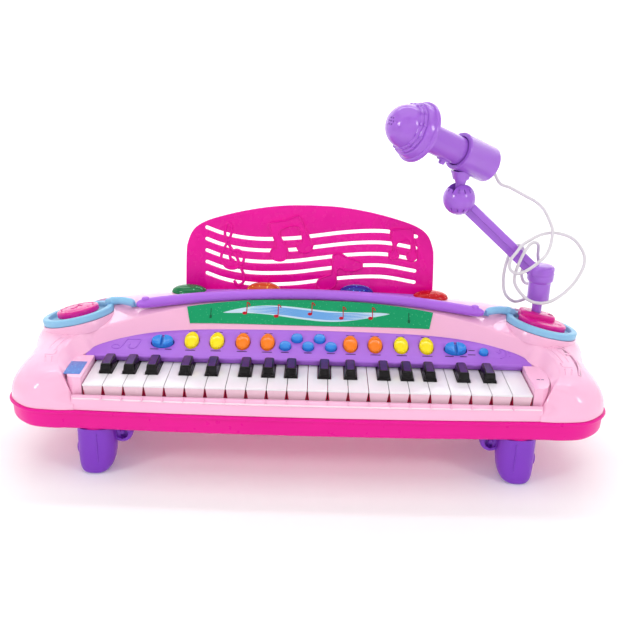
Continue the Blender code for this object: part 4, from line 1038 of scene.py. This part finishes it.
def control_panel():
    matrix = panel_matrix()
    body = plate(panel_outline(0.35), button_outlines(), PANEL_SKIN, 0.3)
    body.transform(shift(0.0, 0.0, -PANEL_SKIN))
    roll = [(-0.9, -4.6), (1.6, -4.6), (1.6, -0.1), (0.9, 0.3), (0.2, 0.5), (-0.5, 0.35), (-1.05, -0.1), (-1.25, -0.8)]
    parts = [body, side_prism(roll, -CHEEK_X + 1.2, CHEEK_X - 1.2, 40)]
    for line in PANEL_STROKES:
        parts.append(tube([(x, v, 0.05) for x, v in even_curve(line, 9 * len(line))], 0.5, 8))
    for v in (16.4, 11.6):
        parts.append(turned([(0.9, -0.2), (0.8, 0.35), (0.4, 0.5)], 16, shift(173.4, v)))
    place("purple_panel", joined(*parts), PANEL, "housing", "purple_shell", "control_panel", smooth=34, matrix=matrix)
    marks = []

    def mark(x, v, length):
        marks.append(prism([(px + x, py + v) for px, py in oval(length / 2, 0.5, 16, 0.4)], 0.0, 0.06))

    for x in EGG_X:
        for side in (-1, 1):
            mark(side * x, EGG_V + 11.9, LABEL_LENGTH - 1.5)
            mark(side * x, BUTTON_ROW_V - 10.2, LABEL_LENGTH)
    for x, v in ROUND_BUTTONS:
        mark(x, v - 7.2 if v < 20 else v + 6.6, 7.0)
    for side in (-1, 1):
        mark(side * ROCKER_X, BUTTON_ROW_V + 7.6, 6.0)
        mark(side * ROCKER_X - 6.0, BUTTON_ROW_V - 9.6, 7.5)
        mark(side * ROCKER_X + 6.0, BUTTON_ROW_V - 9.6, 6.0)
    mark(POWER_X - 10.0, POWER_V + 2.6, 5.5)
    mark(POWER_X - 10.5, POWER_V - 2.8, 6.5)
    place("panel_marks", joined(*marks), INK, "housing", "purple_shell", matrix=matrix)


RUNNER_TOP = -PANEL_SKIN - 0.5
RUNNER_BOTTOM = RUNNER_TOP - 1.4


def egg(x, v):
    """A domed egg-shaped cap whose upper third stands proud above a curved crease."""
    rings, count = [], 72
    levels = [(1.0, RUNNER_BOTTOM), (1.0, 0.9), (0.99, 1.5)]
    levels += [(math.cos(t), 1.4 + 3.7 * math.sin(t)) for t in np.linspace(0.22, 1.5, 24)]
    for scale, height in levels:
        ring = []
        for px, py in circle(1.0, count):
            narrow = 1.0 - 0.13 * max(0.0, py) ** 2
            lx, ly = 6.2 * px * narrow * scale, 9.8 * py * scale
            crease = 3.6 - 0.045 * lx * lx
            fall = min(1.0, max(0.0, (crease - ly) / 0.5))
            ring.append((x + lx, v + ly, height - fall * 0.26 * max(0.0, height - 0.9)))
        rings.append(ring)
    return loft(rings)


def round_cap(x, v, radius, height):
    profile = [
        (radius, RUNNER_BOTTOM), (radius, height - 1.6), (radius * 0.97, height - 0.9),
        (radius * 0.88, height - 0.35), (radius * 0.7, height - 0.08), (radius * 0.4, height),
    ]
    return turned(profile, 40, shift(x, v))


def split_cap(x, v):
    """Both halves of a rocker: each has a raised outer edge and a dished face."""
    parts = []
    for side in (-1, 1):
        outline = [(side * 0.95, 6.4)] + [
            (side * max(0.95, 9.3 * math.cos(t)), 6.8 * math.sin(t)) for t in np.linspace(1.42, -1.42, 25)
        ] + [(side * 0.95, -6.4)]
        centre = (side * 4.6, 0.0)
        levels = ((1.0, -3.0), (1.0, 2.6), (0.97, 3.3), (0.9, 3.9), (0.78, 4.2), (0.64, 4.0), (0.45, 3.6), (0.2, 3.4))
        loops = []
        for scale, z in levels:
            loops.append([(x + centre[0] + (px - centre[0]) * scale, v + py * scale, z) for px, py in outline])
        parts.append(loft(loops))
    parts.append(prism([(px + x, py + v) for px, py in oval(8.6, 6.2, 40)], -3.0, 0.6))
    return parts


def buttons():
    matrix = panel_matrix()
    front = box((-103.0, 7.6, RUNNER_BOTTOM), (103.0, 10.4, RUNNER_TOP))
    rear = box((-58.5, 31.8, RUNNER_BOTTOM), (58.5, 33.2, RUNNER_TOP))
    for colour, finish, columns, runner, low, high in (
        ("yellow", YELLOW, EGG_X[2:], front, 8.5, 16.0),
        ("orange", ORANGE, EGG_X[:2], rear, 22.0, 32.6),
    ):
        parts = [runner]
        for x in columns:
            for side in (-1, 1):
                parts.append(egg(side * x, EGG_V))
                parts.append(box((side * x - 3.0, low, RUNNER_BOTTOM + 0.1), (side * x + 3.0, high, RUNNER_TOP - 0.1)))
        name = f"{colour}_buttons"
        place(f"{name}_caps", joined(*parts), finish, name, f"button_{colour}", name, smooth=28, matrix=matrix)
    parts = [box((-20.0, 19.0, RUNNER_BOTTOM), (18.6, 24.0, RUNNER_TOP))]
    parts += [round_cap(x, v, 5.0, 3.4) for x, v in ROUND_BUTTONS]
    place("blue_buttons_caps", joined(*parts), BLUE, "blue_buttons", "button_blue", "blue_buttons", matrix=matrix)
    flange = turned([(5.2, RUNNER_BOTTOM - 0.4), (5.2, RUNNER_TOP)], 32, shift(POWER_X, POWER_V))
    power = joined(round_cap(POWER_X, POWER_V, 3.9, 3.2), flange)
    place("power_button_cap", power, BLUE, "power_button", "button_blue", "power_button", matrix=matrix)
    for name, side in (("record_rocker", -1), ("volume_rocker", 1)):
        halves = joined(*split_cap(side * ROCKER_X, BUTTON_ROW_V - 1.0))
        place(f"{name}_halves", halves, BLUE, name, "button_blue", name, smooth=30, matrix=matrix)


# ---------------------------------------------------------------- bar, rings, discs and domes
def top_bar():
    xs = [-BAR_HALF * math.cos(math.pi * i / 96) for i in range(97)]

    def shape(i):
        end = max(0.06, math.sqrt(max(0.0, 1 - (abs(xs[i]) / (BAR_HALF + 0.2)) ** 40)))
        return [(5.2 * end * c, 4.6 * end * s) for c, s in circle(1.0, 28)]

    parts = [swept([ridge(x) for x in xs], shape)]
    for side in (-1, 1):
        bump = [(3.6, 0.0), (3.5, 4.2), (3.2, 5.2), (2.4, 5.8), (1.0, 6.0)]
        parts.append(turned(bump, 32, Matrix.Translation(ridge(side * 146.0))))
    place("purple_bar", joined(*parts), PURPLE, "housing", "purple_shell", "top_bar", smooth=45)


def blue_trim():
    rail = [ridge(x) + Vector((0.0, 7.6, -2.8)) for x in np.linspace(-160.0, 160.0, 61)]
    parts = [swept(rail, lambda i: oval(1.7, 1.5, 12, 0.5))]
    for side in (-1, 1):
        profile = [
            (RING_OUTER - 0.6, -RING_HEIGHT), (RING_OUTER, -RING_HEIGHT + 0.8), (RING_OUTER, -1.6),
            (RING_OUTER - 0.2, -0.8), (RING_OUTER - 0.7, -0.25), (RING_OUTER - 1.4, 0.0),
            (RING_INNER + 1.2, 0.0), (RING_INNER + 0.4, -0.3), (RING_INNER, -1.0),
            (RING_INNER - 0.2, -RING_HEIGHT + DISH_FLOOR + 0.5),
            (RING_INNER - 1.0, -RING_HEIGHT + DISH_FLOOR),
        ]
        parts.append(turned(profile, 96, disc_matrix(side)))
        tail = [(183.0, 104.0, 32.5), (172.0, 99.5, 36.2), (163.0, 95.0, 37.2), (156.0, 91.6, 36.8)]
        path = even_curve([(side * x, y, z) for x, y, z in tail], 24)
        parts.append(tube(path, lambda i: 3.5 if i < 21 else 3.5 * math.sqrt(1 - ((i - 20) / 3.4) ** 2), 24))
        collar = even_curve([(side * x, y, z) for x, y, z in ((179.5, 102.8, 34.0), (175.5, 101.1, 35.2))], 6)
        parts.append(tube(collar, lambda i: (3.6, 4.0, 4.1, 4.1, 4.0, 3.6)[i], 24))
    place("blue_rings", joined(*parts), SKY, "housing", "sky_blue_trim", "blue_trim", smooth=35)


def drum_pad():
    lift = -RING_HEIGHT + DISH_FLOOR
    radius = DRUM_RADIUS
    profile = [
        (radius - 0.6, lift + 2.2), (radius, lift + 2.8), (radius, 1.2), (radius - 0.2, 2.0),
        (radius - 0.8, 2.7), (radius - 1.8, 3.1), (radius - 3.4, 3.3), (radius - 4.0, 3.0),
        (radius - 4.8, 3.0), (radius - 5.4, 3.35), (radius - 9.0, 3.6), (4.0, 3.7),
    ]
    parts = [turned(profile, 80)]
    for k in range(12):
        turn = Matrix.Rotation(2 * math.pi * k / 12, 4, "Z")
        rib = rounded(box((radius - 4.9, -0.5, 2.6), (radius - 3.6, 0.5, 3.5)), 0.2)
        parts.append(moved(rib, turn))
    head = turned([(2.6, 3.3), (2.5, 4.0), (1.8, 4.3)], 24, shift(-2.6, -3.6))
    stem = rounded(box((-0.9, -3.6, 3.3), (0.1, 5.4, 4.2)), 0.2)
    flag = tube([(-0.3 + 4.4 * t, 5.2 - 3.4 * t * t - 0.6 * t, 3.9) for t in np.linspace(0, 1, 9)], 0.6, 10)
    parts += [head, stem, flag]
    place("drum_pad_top", joined(*parts), DISC, "drum_pad", "magenta_shell", "drum_pad", matrix=disc_matrix(-1))


def mic_socket():
    matrix = disc_matrix(1)
    lift = -RING_HEIGHT + DISH_FLOOR
    radius = SOCKET_RADIUS
    profile = [
        (radius - 0.4, lift + GAP), (radius, lift + 1.0), (radius, 0.8), (radius - 0.3, 1.6),
        (radius - 0.9, 2.2), (radius - 2.0, 2.5), (radius - 3.6, 2.6),
    ]
    base = turned(profile, 80)
    levels = ((1.0, 0.0), (1.0, 4.6), (0.985, 5.5), (0.95, 6.2), (0.88, 6.6))
    block = loft([[(x * s - 4.0, y * s + 8.0, z) for x, y in oval(16.0, 11.0, 56, 0.6)] for s, z in levels])
    shape = moved(carve(base, block, "UNION"), matrix)
    shape = carve(shape, turned([(4.65, POST_FOOT_Z - GAP), (4.65, 70.0)], 40, Matrix.Translation(POST)))
    spare = matrix @ shift(8.5, 8.0)
    shape = carve(shape, turned([(3.0, 3.0), (3.0, 20.0)], 32, spare))
    for k in range(3):
        mark = rounded(box((-1.6, -0.4, 2.4), (1.6, 0.4, 2.9)), 0.15)
        shape = joined(shape, moved(moved(mark, shift(4.0 + 4.6 * k, -7.0)), matrix))
    place("socket_disc", shape, DISC, "housing", "magenta_shell", "mic_socket")
    # painted shade: a dark disc at the bottom of the spare hole
    floor = turned([(3.0, 3.02), (2.9, 3.3)], 32, spare)
    place("spare_hole_shade", floor, HOLE_SHADE, "housing", "magenta_shell")


def domes():
    strip = swept(
        [Vector((x, DOME_Y, lens_base(x) + 0.7)) for x in np.linspace(DOME_X[0], DOME_X[-1], 41)],
        lambda i: oval(4.0, 0.7, 12, 0.4),
    )
    place("dome_strip", strip, PURPLE, "housing", "lens_colour", "lens_strip")
    for name, x, finish in zip(("green", "orange", "blue", "red"), DOME_X, DOME_FINISH):
        tall = 1.06 if abs(x) < 80 else 0.8
        profile = [(16.2, 0.1), (16.4, 0.5), (16.2, 1.0)]
        profile += [(16.0 * math.cos(t) ** 0.9, 1.0 + 7.4 * math.sin(t)) for t in np.linspace(0.12, 1.52, 14)]
        at = shift(x, DOME_Y) @ Matrix.Diagonal((1.0, 0.6, 1.0, 1.0))
        dome = turned([(radius, lens_base(x) + height * tall) for radius, height in profile], 56, at)
        place(f"dome_{name}", dome, finish, "housing", "lens_colour", smooth=50)


# ---------------------------------------------------------------- music stand
STAND_HALF = (
    (115.4, -4.5), (114.6, 33.0), (113.0, 44.5), (107.5, 56.0), (96.5, 63.6), (76.5, 70.2), (50.0, 76.2), (24.0, 79.6),
    (0.0, 80.4),
)
WAVE = (
    (-95.5, 0.0), (-82.0, -4.7), (-67.0, -7.9), (-51.5, -9.4), (-35.0, -9.4), (-13.0, -7.9), (9.5, -4.6),
    (32.5, -1.4), (54.0, 0.3), (72.5, 0.0), (97.5, -4.0),
)
WAVE_TOP = 57.9
WAVE_PITCH = 10.7
WAVE_HALF = 1.75
STAND_NOTES = (
    # a leaning pair of notes, one quaver, and a small pair
    ((-39, 62.5), (-35, 64.8), (-22.5, 67), (-13.5, 71), (-10, 70), (-4, 58.5), (2.2, 46), (3, 42), (0.8, 38),
     (-4.5, 35.8), (-10.5, 37.5), (-13, 42), (-11, 46.2), (-8, 48.6), (-12.7, 60.5), (-28, 55.5), (-20.7, 40.5),
     (-20, 34.3), (-23, 29), (-29, 27.5), (-35.5, 30), (-37.5, 36), (-34.8, 40.6), (-31.8, 42.5), (-37.8, 57)),
    ((20.2, 30.5), (20.8, 34.8), (24.6, 37.4), (29, 36.8), (35.5, 33.4), (42.5, 31.6), (48.2, 29.2), (49.6, 25.9),
     (47.5, 22), (41.4, 20), (33.7, 19.9), (27.8, 22.4), (25.6, 18.2), (25.5, 9), (22.5, 3.8), (15.6, 1.6), (8.8, 2.6),
     (6, 6.8), (8.6, 12.2), (15, 15.4), (19.8, 18)),
    ((73, 58.5), (76, 60.6), (90, 61.8), (94.4, 60), (95.8, 51), (98.6, 40.4), (99.4, 35), (96.4, 31.2), (91, 31.6),
     (88.8, 35.4), (90.4, 39.2), (92.6, 41.2), (90.6, 50.6), (80.4, 46.6), (82.4, 38.4), (82.2, 34), (76.4, 31.8),
     (72.6, 34.4), (72.6, 39), (76.4, 41.6), (74, 52)),
)
CLEF = (
    (-70.5, 8.6), (-67.2, 4.4), (-62.4, 6.4), (-61.0, 12.6), (-63.8, 20.0), (-68.4, 31.5), (-74.8, 41.5), (-78.8, 51.0),
    (-78.2, 58.6), (-75.8, 62.2), (-73.0, 59.4), (-73.2, 52.2), (-76.8, 44.0), (-81.2, 36.2), (-82.2, 28.4),
    (-77.6, 21.2), (-69.6, 20.2), (-62.4, 25.8), (-61.8, 33.2), (-67.4, 37.4), (-73.0, 35.2), (-74.2, 30.2),
    (-70.4, 27.0),
)


def music_stand():
    half = smooth_curve(STAND_HALF, 60)
    outline = [(-93.0, -8.0), (93.0, -8.0), (93.0, -5.5), (94.0, -4.5)] + [tuple(point) for point in half]
    outline += [(-x, y) for x, y in half[-2::-1]] + [(-94.0, -4.5), (-93.0, -5.5)]
    wave = smooth_curve(WAVE, 90)
    slots = []
    for row in range(5):
        middle = wave + (0.0, WAVE_TOP - row * WAVE_PITCH)
        along = np.gradient(middle, axis=0)
        along /= np.linalg.norm(along, axis=1)[:, None]
        across = np.stack([-along[:, 1], along[:, 0]], axis=1) * WAVE_HALF
        loop = [tuple(point) for point in middle + across]
        for t in np.linspace(0.4, math.pi - 0.4, 6):
            loop.append(tuple(middle[-1] + across[-1] * math.cos(t) + along[-1] * WAVE_HALF * math.sin(t)))
        loop += [tuple(point) for point in (middle - across)[::-1]]
        for t in np.linspace(0.4, math.pi - 0.4, 6):
            loop.append(tuple(middle[0] - across[0] * math.cos(t) - along[0] * WAVE_HALF * math.sin(t)))
        slots.append(loop)
    parts = [plate(outline, slots, STAND_THICK, 0.5)]
    for note in STAND_NOTES:
        contour = closed_curve(note, 150)
        parts.append(plate(contour, [], STAND_THICK + 0.7, 0.4))
        rim = grown(anticlockwise(contour), -0.7)
        loops = []
        for i, (x, y) in enumerate(rim):
            ahead = rim[(i + 1) % len(rim)] - rim[i - 1]
            ahead /= np.linalg.norm(ahead)
            loops.append([(x + ahead[1] * a, y - ahead[0] * a, STAND_THICK + 0.7 + b) for a, b in circle(0.7, 8)])
        parts.append(loft(loops, closed_path=True))
    stroke = even_curve(CLEF, 150)
    parts.append(swept([(x, y, 1.95) for x, y in stroke], lambda i: oval(1.35, 1.95, 16, 0.6)))
    place("stand_plate", joined(*parts), STAND_PINK, "music_stand", "magenta_shell", "music_stand", smooth=30,
          matrix=stand_matrix())


# ---------------------------------------------------------------- microphone and its arm
ARM_HALF = 6.0
ARM_DEPTH = 4.6


def mic_arm():
    profile = [
        (4.35, POST_FOOT_Z), (4.35, CUFF_BOTTOM_Z - 1.5), (7.0, CUFF_BOTTOM_Z - 1.3),
        (8.8, CUFF_BOTTOM_Z - 0.8), (9.5, CUFF_BOTTOM_Z - 0.1), (9.75, CUFF_BOTTOM_Z + 0.8),
        (9.75, CUFF_TOP_Z), (10.2, CUFF_TOP_Z + 0.6), (11.3, CUFF_TOP_Z + 1.8), (11.6, CUFF_TOP_Z + 2.8),
        (11.6, CAP_TOP_Z - 3.2), (11.3, CAP_TOP_Z - 2.3), (10.2, CAP_TOP_Z - 1.2), (8.6, CAP_TOP_Z - 0.6),
        (4.0, CAP_TOP_Z),
    ]
    post = turned(profile, 64, Matrix.Translation(POST))
    start = Vector((POST.x - 2.0, POST.y, CUFF_TOP_Z + 6.0))
    reach = BALL - start
    outline = [
        # x towards the player, y up: a channel runs along the lower half of the player's side
        (ARM_DEPTH, 0.6), (ARM_DEPTH, ARM_HALF - 0.8), (ARM_DEPTH - 0.8, ARM_HALF), (-ARM_DEPTH + 0.8, ARM_HALF),
        (-ARM_DEPTH, ARM_HALF - 0.8), (-ARM_DEPTH, -ARM_HALF + 0.8), (-ARM_DEPTH + 0.8, -ARM_HALF), (0.6, -ARM_HALF),
        (1.2, -ARM_HALF + 0.6), (ARM_DEPTH - 2.8, -0.2), (ARM_DEPTH - 0.6, 0.0),
    ]
    bar = loft([[(x, y, z) for x, y in outline] for z in np.linspace(0.0, reach.length - 7.0, 24)])
    bar = moved(rounded(bar, 0.35, 2), axis_matrix(start, reach))
    shell = bmesh.new()
    bmesh.ops.create_uvsphere(shell, u_segments=56, v_segments=32, radius=BALL_RADIUS + 0.5)
    shell.transform(Matrix.Translation(BALL))
    upright = tilt_matrix() @ Matrix.Rotation(math.pi / 2, 4, "X")
    slot = prism([(-5.6, -1.0), (5.6, -1.0), (12.6, 16.0), (-12.6, 16.0)], -TONGUE_HALF - 0.4, TONGUE_HALF + 0.4)
    shell = carve(shell, moved(slot, upright))
    seat = turned([(TONGUE_RADIUS + 0.4, z) for z in (-TONGUE_HALF - 0.4, TONGUE_HALF + 0.4)], 40)
    shell = carve(shell, moved(seat, upright))
    slits = []
    for turn in (205.0, 232.0, 258.0, 284.0, 310.0, 336.0):
        for tilt in (38.0, -34.0):
            way = Matrix.Rotation(math.radians(turn), 4, "Z") @ Matrix.Rotation(math.radians(-tilt), 4, "Y")
            slit = box((BALL_RADIUS - 0.9, -0.45, -1.9), (BALL_RADIUS + 2.0, 0.45, 1.9))
            slits.append(moved(slit, Matrix.Translation(BALL) @ way))
    shell = carve(shell, joined(*slits))
    bead = [(11.62, CAP_TOP_Z - 8.6), (11.9, CAP_TOP_Z - 8.2), (11.62, CAP_TOP_Z - 7.8)]
    parts = [post, bar, shell, turned(bead, 64, Matrix.Translation(POST))]
    place("arm_and_post", joined(*parts), MIC_PURPLE, "mic_arm", "purple_shell", "mic_arm", smooth=34)


def mic_holder():
    outer, inner = CLIP_OUTER, MIC_RADIUS + 0.6
    profile = [
        (inner, CLIP_FRONT + 0.5), (inner + 0.5, CLIP_FRONT), (outer - 0.8, CLIP_FRONT),
        (outer - 0.2, CLIP_FRONT + 0.3), (outer + 0.25, CLIP_FRONT + 1.2), (outer + 0.25, CLIP_FRONT + 2.2),
        (outer, CLIP_FRONT + 2.8), (outer, CLIP_REAR - 2.6), (outer - 0.3, CLIP_REAR - 1.3),
        (outer - 1.2, CLIP_REAR - 0.4), (outer - 2.4, CLIP_REAR), (inner + 0.4, CLIP_REAR),
        (inner, CLIP_REAR - 0.5),
    ]
    tube_shape = loft([[(x, y, z) for x, y in circle(radius, 72)] for radius, z in profile], closed_path=True)
    tube_shape.transform(clip_matrix())
    seam = rounded(box((outer - 0.3, -0.3, 6.0), (outer + 0.35, 0.3, 14.0)), 0.15)
    seam.transform(clip_matrix() @ Matrix.Rotation(math.radians(248.0), 4, "Z"))
    neck = turned([(4.4, 1.0), (4.4, 13.5), (4.9, 15.0), (5.6, 16.6), (6.0, 18.0), (6.6, 22.0), (7.0, 24.4)], 40)
    saddle = loft([
        [(x, y, z) for x, y in oval(half_x, half_y, 40, 0.6)]
        for half_x, half_y, z in ((6.2, 5.6, 17.0), (7.4, 6.4, 21.0), (8.6, 7.0, 24.6))
    ])
    tongue = turned([(TONGUE_RADIUS, -TONGUE_HALF), (TONGUE_RADIUS, TONGUE_HALF)], 40)
    tongue.transform(Matrix.Rotation(math.pi / 2, 4, "X"))
    foot = moved(joined(neck, saddle, tongue), tilt_matrix())
    parts = joined(tube_shape, seam, foot)
    place("holder_tube", parts, MIC_PURPLE, "mic_holder", "purple_shell", "mic_holder", smooth=36)


def microphone():
    f = MIC_FLANGE
    head = [
        (2.0, f - 29.7), (6.0, f - 28.9), (9.5, f - 27.4), (12.4, f - 25.2), (14.8, f - 22.5),
        (16.5, f - 19.5), (17.5, f - 16.5), (17.9, f - 14.6), (17.9, f - 13.9), (18.9, f - 13.3),
        (19.4, f - 12.6), (19.4, f - 11.6), (18.9, f - 11.2), (20.2, f - 10.6), (20.8, f - 9.8),
        (20.8, f - 8.8), (20.3, f - 8.3), (22.0, f - 7.8), (22.6, f - 7.0), (23.3, f - 3.4),
        (23.5, f - 2.4), (24.9, f - 1.9), (25.4, f - 1.0), (25.4, f + 0.8), (24.9, f + 1.8),
        (23.6, f + 2.6), (22.0, f + 3.3), (19.6, f + 4.3), (16.6, f + 6.2), (14.2, f + 8.6),
        (12.9, f + 10.2), (MIC_RADIUS, f + 11.2), (MIC_RADIUS, CLIP_FRONT - 1.0),
        (MIC_RADIUS, CLIP_REAR - 5.0), (11.6, CLIP_REAR - 3.6), (10.4, CLIP_REAR - 2.2),
        (9.0, CLIP_REAR - 1.2), (4.0, CLIP_REAR - 0.6),
    ]
    matrix = clip_matrix()
    body = turned(head, 88)
    holes = []
    for x, y in [(0.0, 0.0), *circle(2.9, 6)]:
        holes.append(turned([(0.72, f - 34.0), (0.72, f - 27.0)], 12, shift(x - 1.5, y - 1.0)))
    body = carve(body, joined(*holes))
    parts = [body]
    for k in range(12):
        turn = Matrix.Rotation(2 * math.pi * (k + 0.5) / 12, 4, "Z")
        for radius, z in ((18.9, -12.6), (20.4, -9.4)):
            tooth = rounded(box((radius - 1.2, -1.5, f + z - 1.5), (radius + 0.7, 1.5, f + z + 1.2)), 0.45, 2)
            parts.append(moved(tooth, turn))
    seat = loft([[(MIC_RADIUS - 0.6 + up, y, z) for y, z in oval(3.4 * s, 6.4 * s, 32, 0.6)]
                 for up, s in ((0.0, 1.0), (1.0, 1.0), (1.5, 0.92))])
    nub = loft([[(MIC_RADIUS + up, y, z - 0.8) for y, z in oval(2.2 * s, 2.6 * s, 24, 0.6)]
                for up, s in ((0.0, 1.0), (3.0, 1.0), (3.8, 0.85), (4.1, 0.5))])
    switch = joined(seat, nub)
    lowest = (matrix.inverted().to_3x3() @ Vector((0.0, 0.0, -1.0))).normalized()
    switch.transform(shift(0.0, 0.0, -17.5) @ Matrix.Rotation(math.atan2(lowest.y, lowest.x), 4, "Z"))
    parts.append(switch)
    place("microphone_body", joined(*parts), MIC_PURPLE, "microphone", "purple_shell", "microphone", smooth=30,
          matrix=matrix)


# ---------------------------------------------------------------- title panel and stickers
def wall_point(x, share, lift):
    """A point on the recess wall: share runs from its foot to its crest, lift stands out of it."""
    rows = all_stations(HALF_STATIONS)
    rows = rows[np.abs(rows[:, 5]) < 150][::-1]
    foot = np.array([x, *(np.interp(x, rows[:, 5], rows[:, k]) for k in (6, 7))])
    crest = np.array([x, *(np.interp(x, rows[:, 2], rows[:, k]) for k in (3, 4))])
    up = crest - foot
    out = np.array((0.0, -up[2], up[1])) / np.linalg.norm(up)
    return foot + up * share + out * lift


TITLE_HALF = 107.0
RIBBON_LEFT = -77.0
RIBBON_RIGHT = 71.0
RIBBON_BOW = 0.13


def title_low(x):
    return 0.15 + 0.12 * (x / TITLE_HALF) ** 2


def title_high(x):
    return 1.04 - 0.03 * (x / TITLE_HALF) ** 2


def on_title(xs, low, high, bottom, top, flare=0.0):
    """A thin closed slip on the recess wall between two edges that depend on x, its top wider by flare."""
    loops = []
    for x in xs:
        shares = np.linspace(low(x), high(x), 7)
        front = [wall_point(x * (1 + flare * (s - 0.5)), s, top) for s in shares]
        back = [wall_point(x * (1 + flare * (s - 0.5)), s, bottom) for s in shares[::-1]]
        loops.append(front + back)
    return loft(loops)


def title_panel():
    green = on_title(np.linspace(-TITLE_HALF, TITLE_HALF, 61), title_low, title_high, -0.3, 0.7, flare=0.045)
    place("title_panel", green, GREEN, "housing", "board_green", smooth=30)

    def height(x, share):
        return title_low(x) + (title_high(x) - title_low(x)) * share

    def ribbon(left, right, start, thick):
        def middle(x):
            t = (x - RIBBON_LEFT) / (RIBBON_RIGHT - RIBBON_LEFT)
            return start + RIBBON_BOW * math.sin(2 * math.pi * t + 0.35) + 0.1 * t * t

        def half(x):
            t = (x - left) / (right - left)
            return thick * math.sin(math.pi * min(1.0, max(0.0, t))) ** 0.7 + 0.004

        xs = np.linspace(left, right, 49)
        return on_title(
            xs, lambda x: height(x, middle(x) - half(x)), lambda x: height(x, middle(x) + half(x)), 0.5, 0.82
        )

    pale = ribbon(RIBBON_LEFT, RIBBON_RIGHT, 0.46, 0.22)
    place("title_wave_pale", pale, RIBBON_PALE, "housing", "sky_blue_trim")
    waves = [ribbon(-58.0 + 4 * abs(k - 2), 58.0 - 5 * abs(k - 2), 0.34 + 0.06 * k, 0.026) for k in range(5)]
    for wave in waves:
        wave.transform(shift(0.0, -0.08, 0.08))
    place("title_wave_blue", joined(*waves), RIBBON_BLUE, "housing", "sky_blue_trim")
    notes = []
    for x, share, lean in (
        (-58.0, 0.62, 0.2), (-30.0, 0.5, 0.0), (0.0, 0.6, 0.2), (28.0, 0.48, 0.0), (54.0, 0.52, 0.2),
    ):
        at = Vector(wall_point(x, height(x, share - 0.16), 0.9))
        tip = Vector(wall_point(x + 1.6 + lean, height(x, share + 0.3), 0.9))
        head = bmesh.new()
        bmesh.ops.create_uvsphere(head, u_segments=20, v_segments=10, radius=1.0)
        head.transform(Matrix.Translation(at) @ Matrix.Rotation(0.85, 4, "X") @ Matrix.Diagonal((2.1, 1.5, 0.35, 1.0)))
        start = at + Vector((1.7, 0.0, 0.0))
        notes += [head, tube([start, start.lerp(tip, 0.5), tip], 0.4, 8)]
        flag = [tip, tip + Vector((1.6, -0.7, -0.9)), tip + Vector((2.6, -2.0, -2.2))]
        notes.append(tube(smooth_curve(flag, 7), 0.5, 8))
    place("title_notes", joined(*notes), PRINT_RED, "housing", "magenta_shell")
    arrows = []
    for x in (-88.0, 88.0):
        middle = (title_low(x) + title_high(x)) / 2
        arrows.append(on_title([x - 0.4, x, x + 0.4], lambda u: middle - 0.16, lambda u: middle + 0.2, 0.5, 0.85))
        arrows.append(on_title([x - 1.0, x, x + 1.0], lambda u: middle - 0.2, lambda u: middle - 0.08, 0.5, 0.9))
    place("title_arrows", joined(*arrows), INK_GREEN, "housing", "board_green")


def stickers():
    sheet = plate([(-198.0, 7.2), (-184.6, 7.2), (-184.6, 32.2), (-198.0, 32.2)], [], 0.3, 0.08)
    place("cheek_sticker", sheet, STICKER, "housing", "sky_blue_trim",
          matrix=shift(0.0, 0.0, CHEEK_Z - 0.05))
    marks = [prism([(x + px, 19.2 + py) for px, py in oval(half, 0.55, 16, 0.5)], CHEEK_Z - 0.05, CHEEK_Z + 0.08)
             for x, half in ((189.2, 1.4), (192.6, 1.2))]
    place("cheek_mark", joined(*marks), INK, "housing", "purple_shell")


# ---------------------------------------------------------------- the whole scene
camera()
stage()
lights()
cords()
upper_housing()
lower_housing()
screws()
inside_and_underneath()
leg("leg_left", -1)
leg("leg_right", 1)
for number in range(1, WHITE_KEYS + 1):
    white_key(number)
for index, after in enumerate(BLACK_AFTER, 1):
    black_key(index, after)
control_panel()
buttons()
top_bar()
blue_trim()
drum_pad()
mic_socket()
domes()
music_stand()
mic_arm()
mic_holder()
microphone()
title_panel()
stickers()
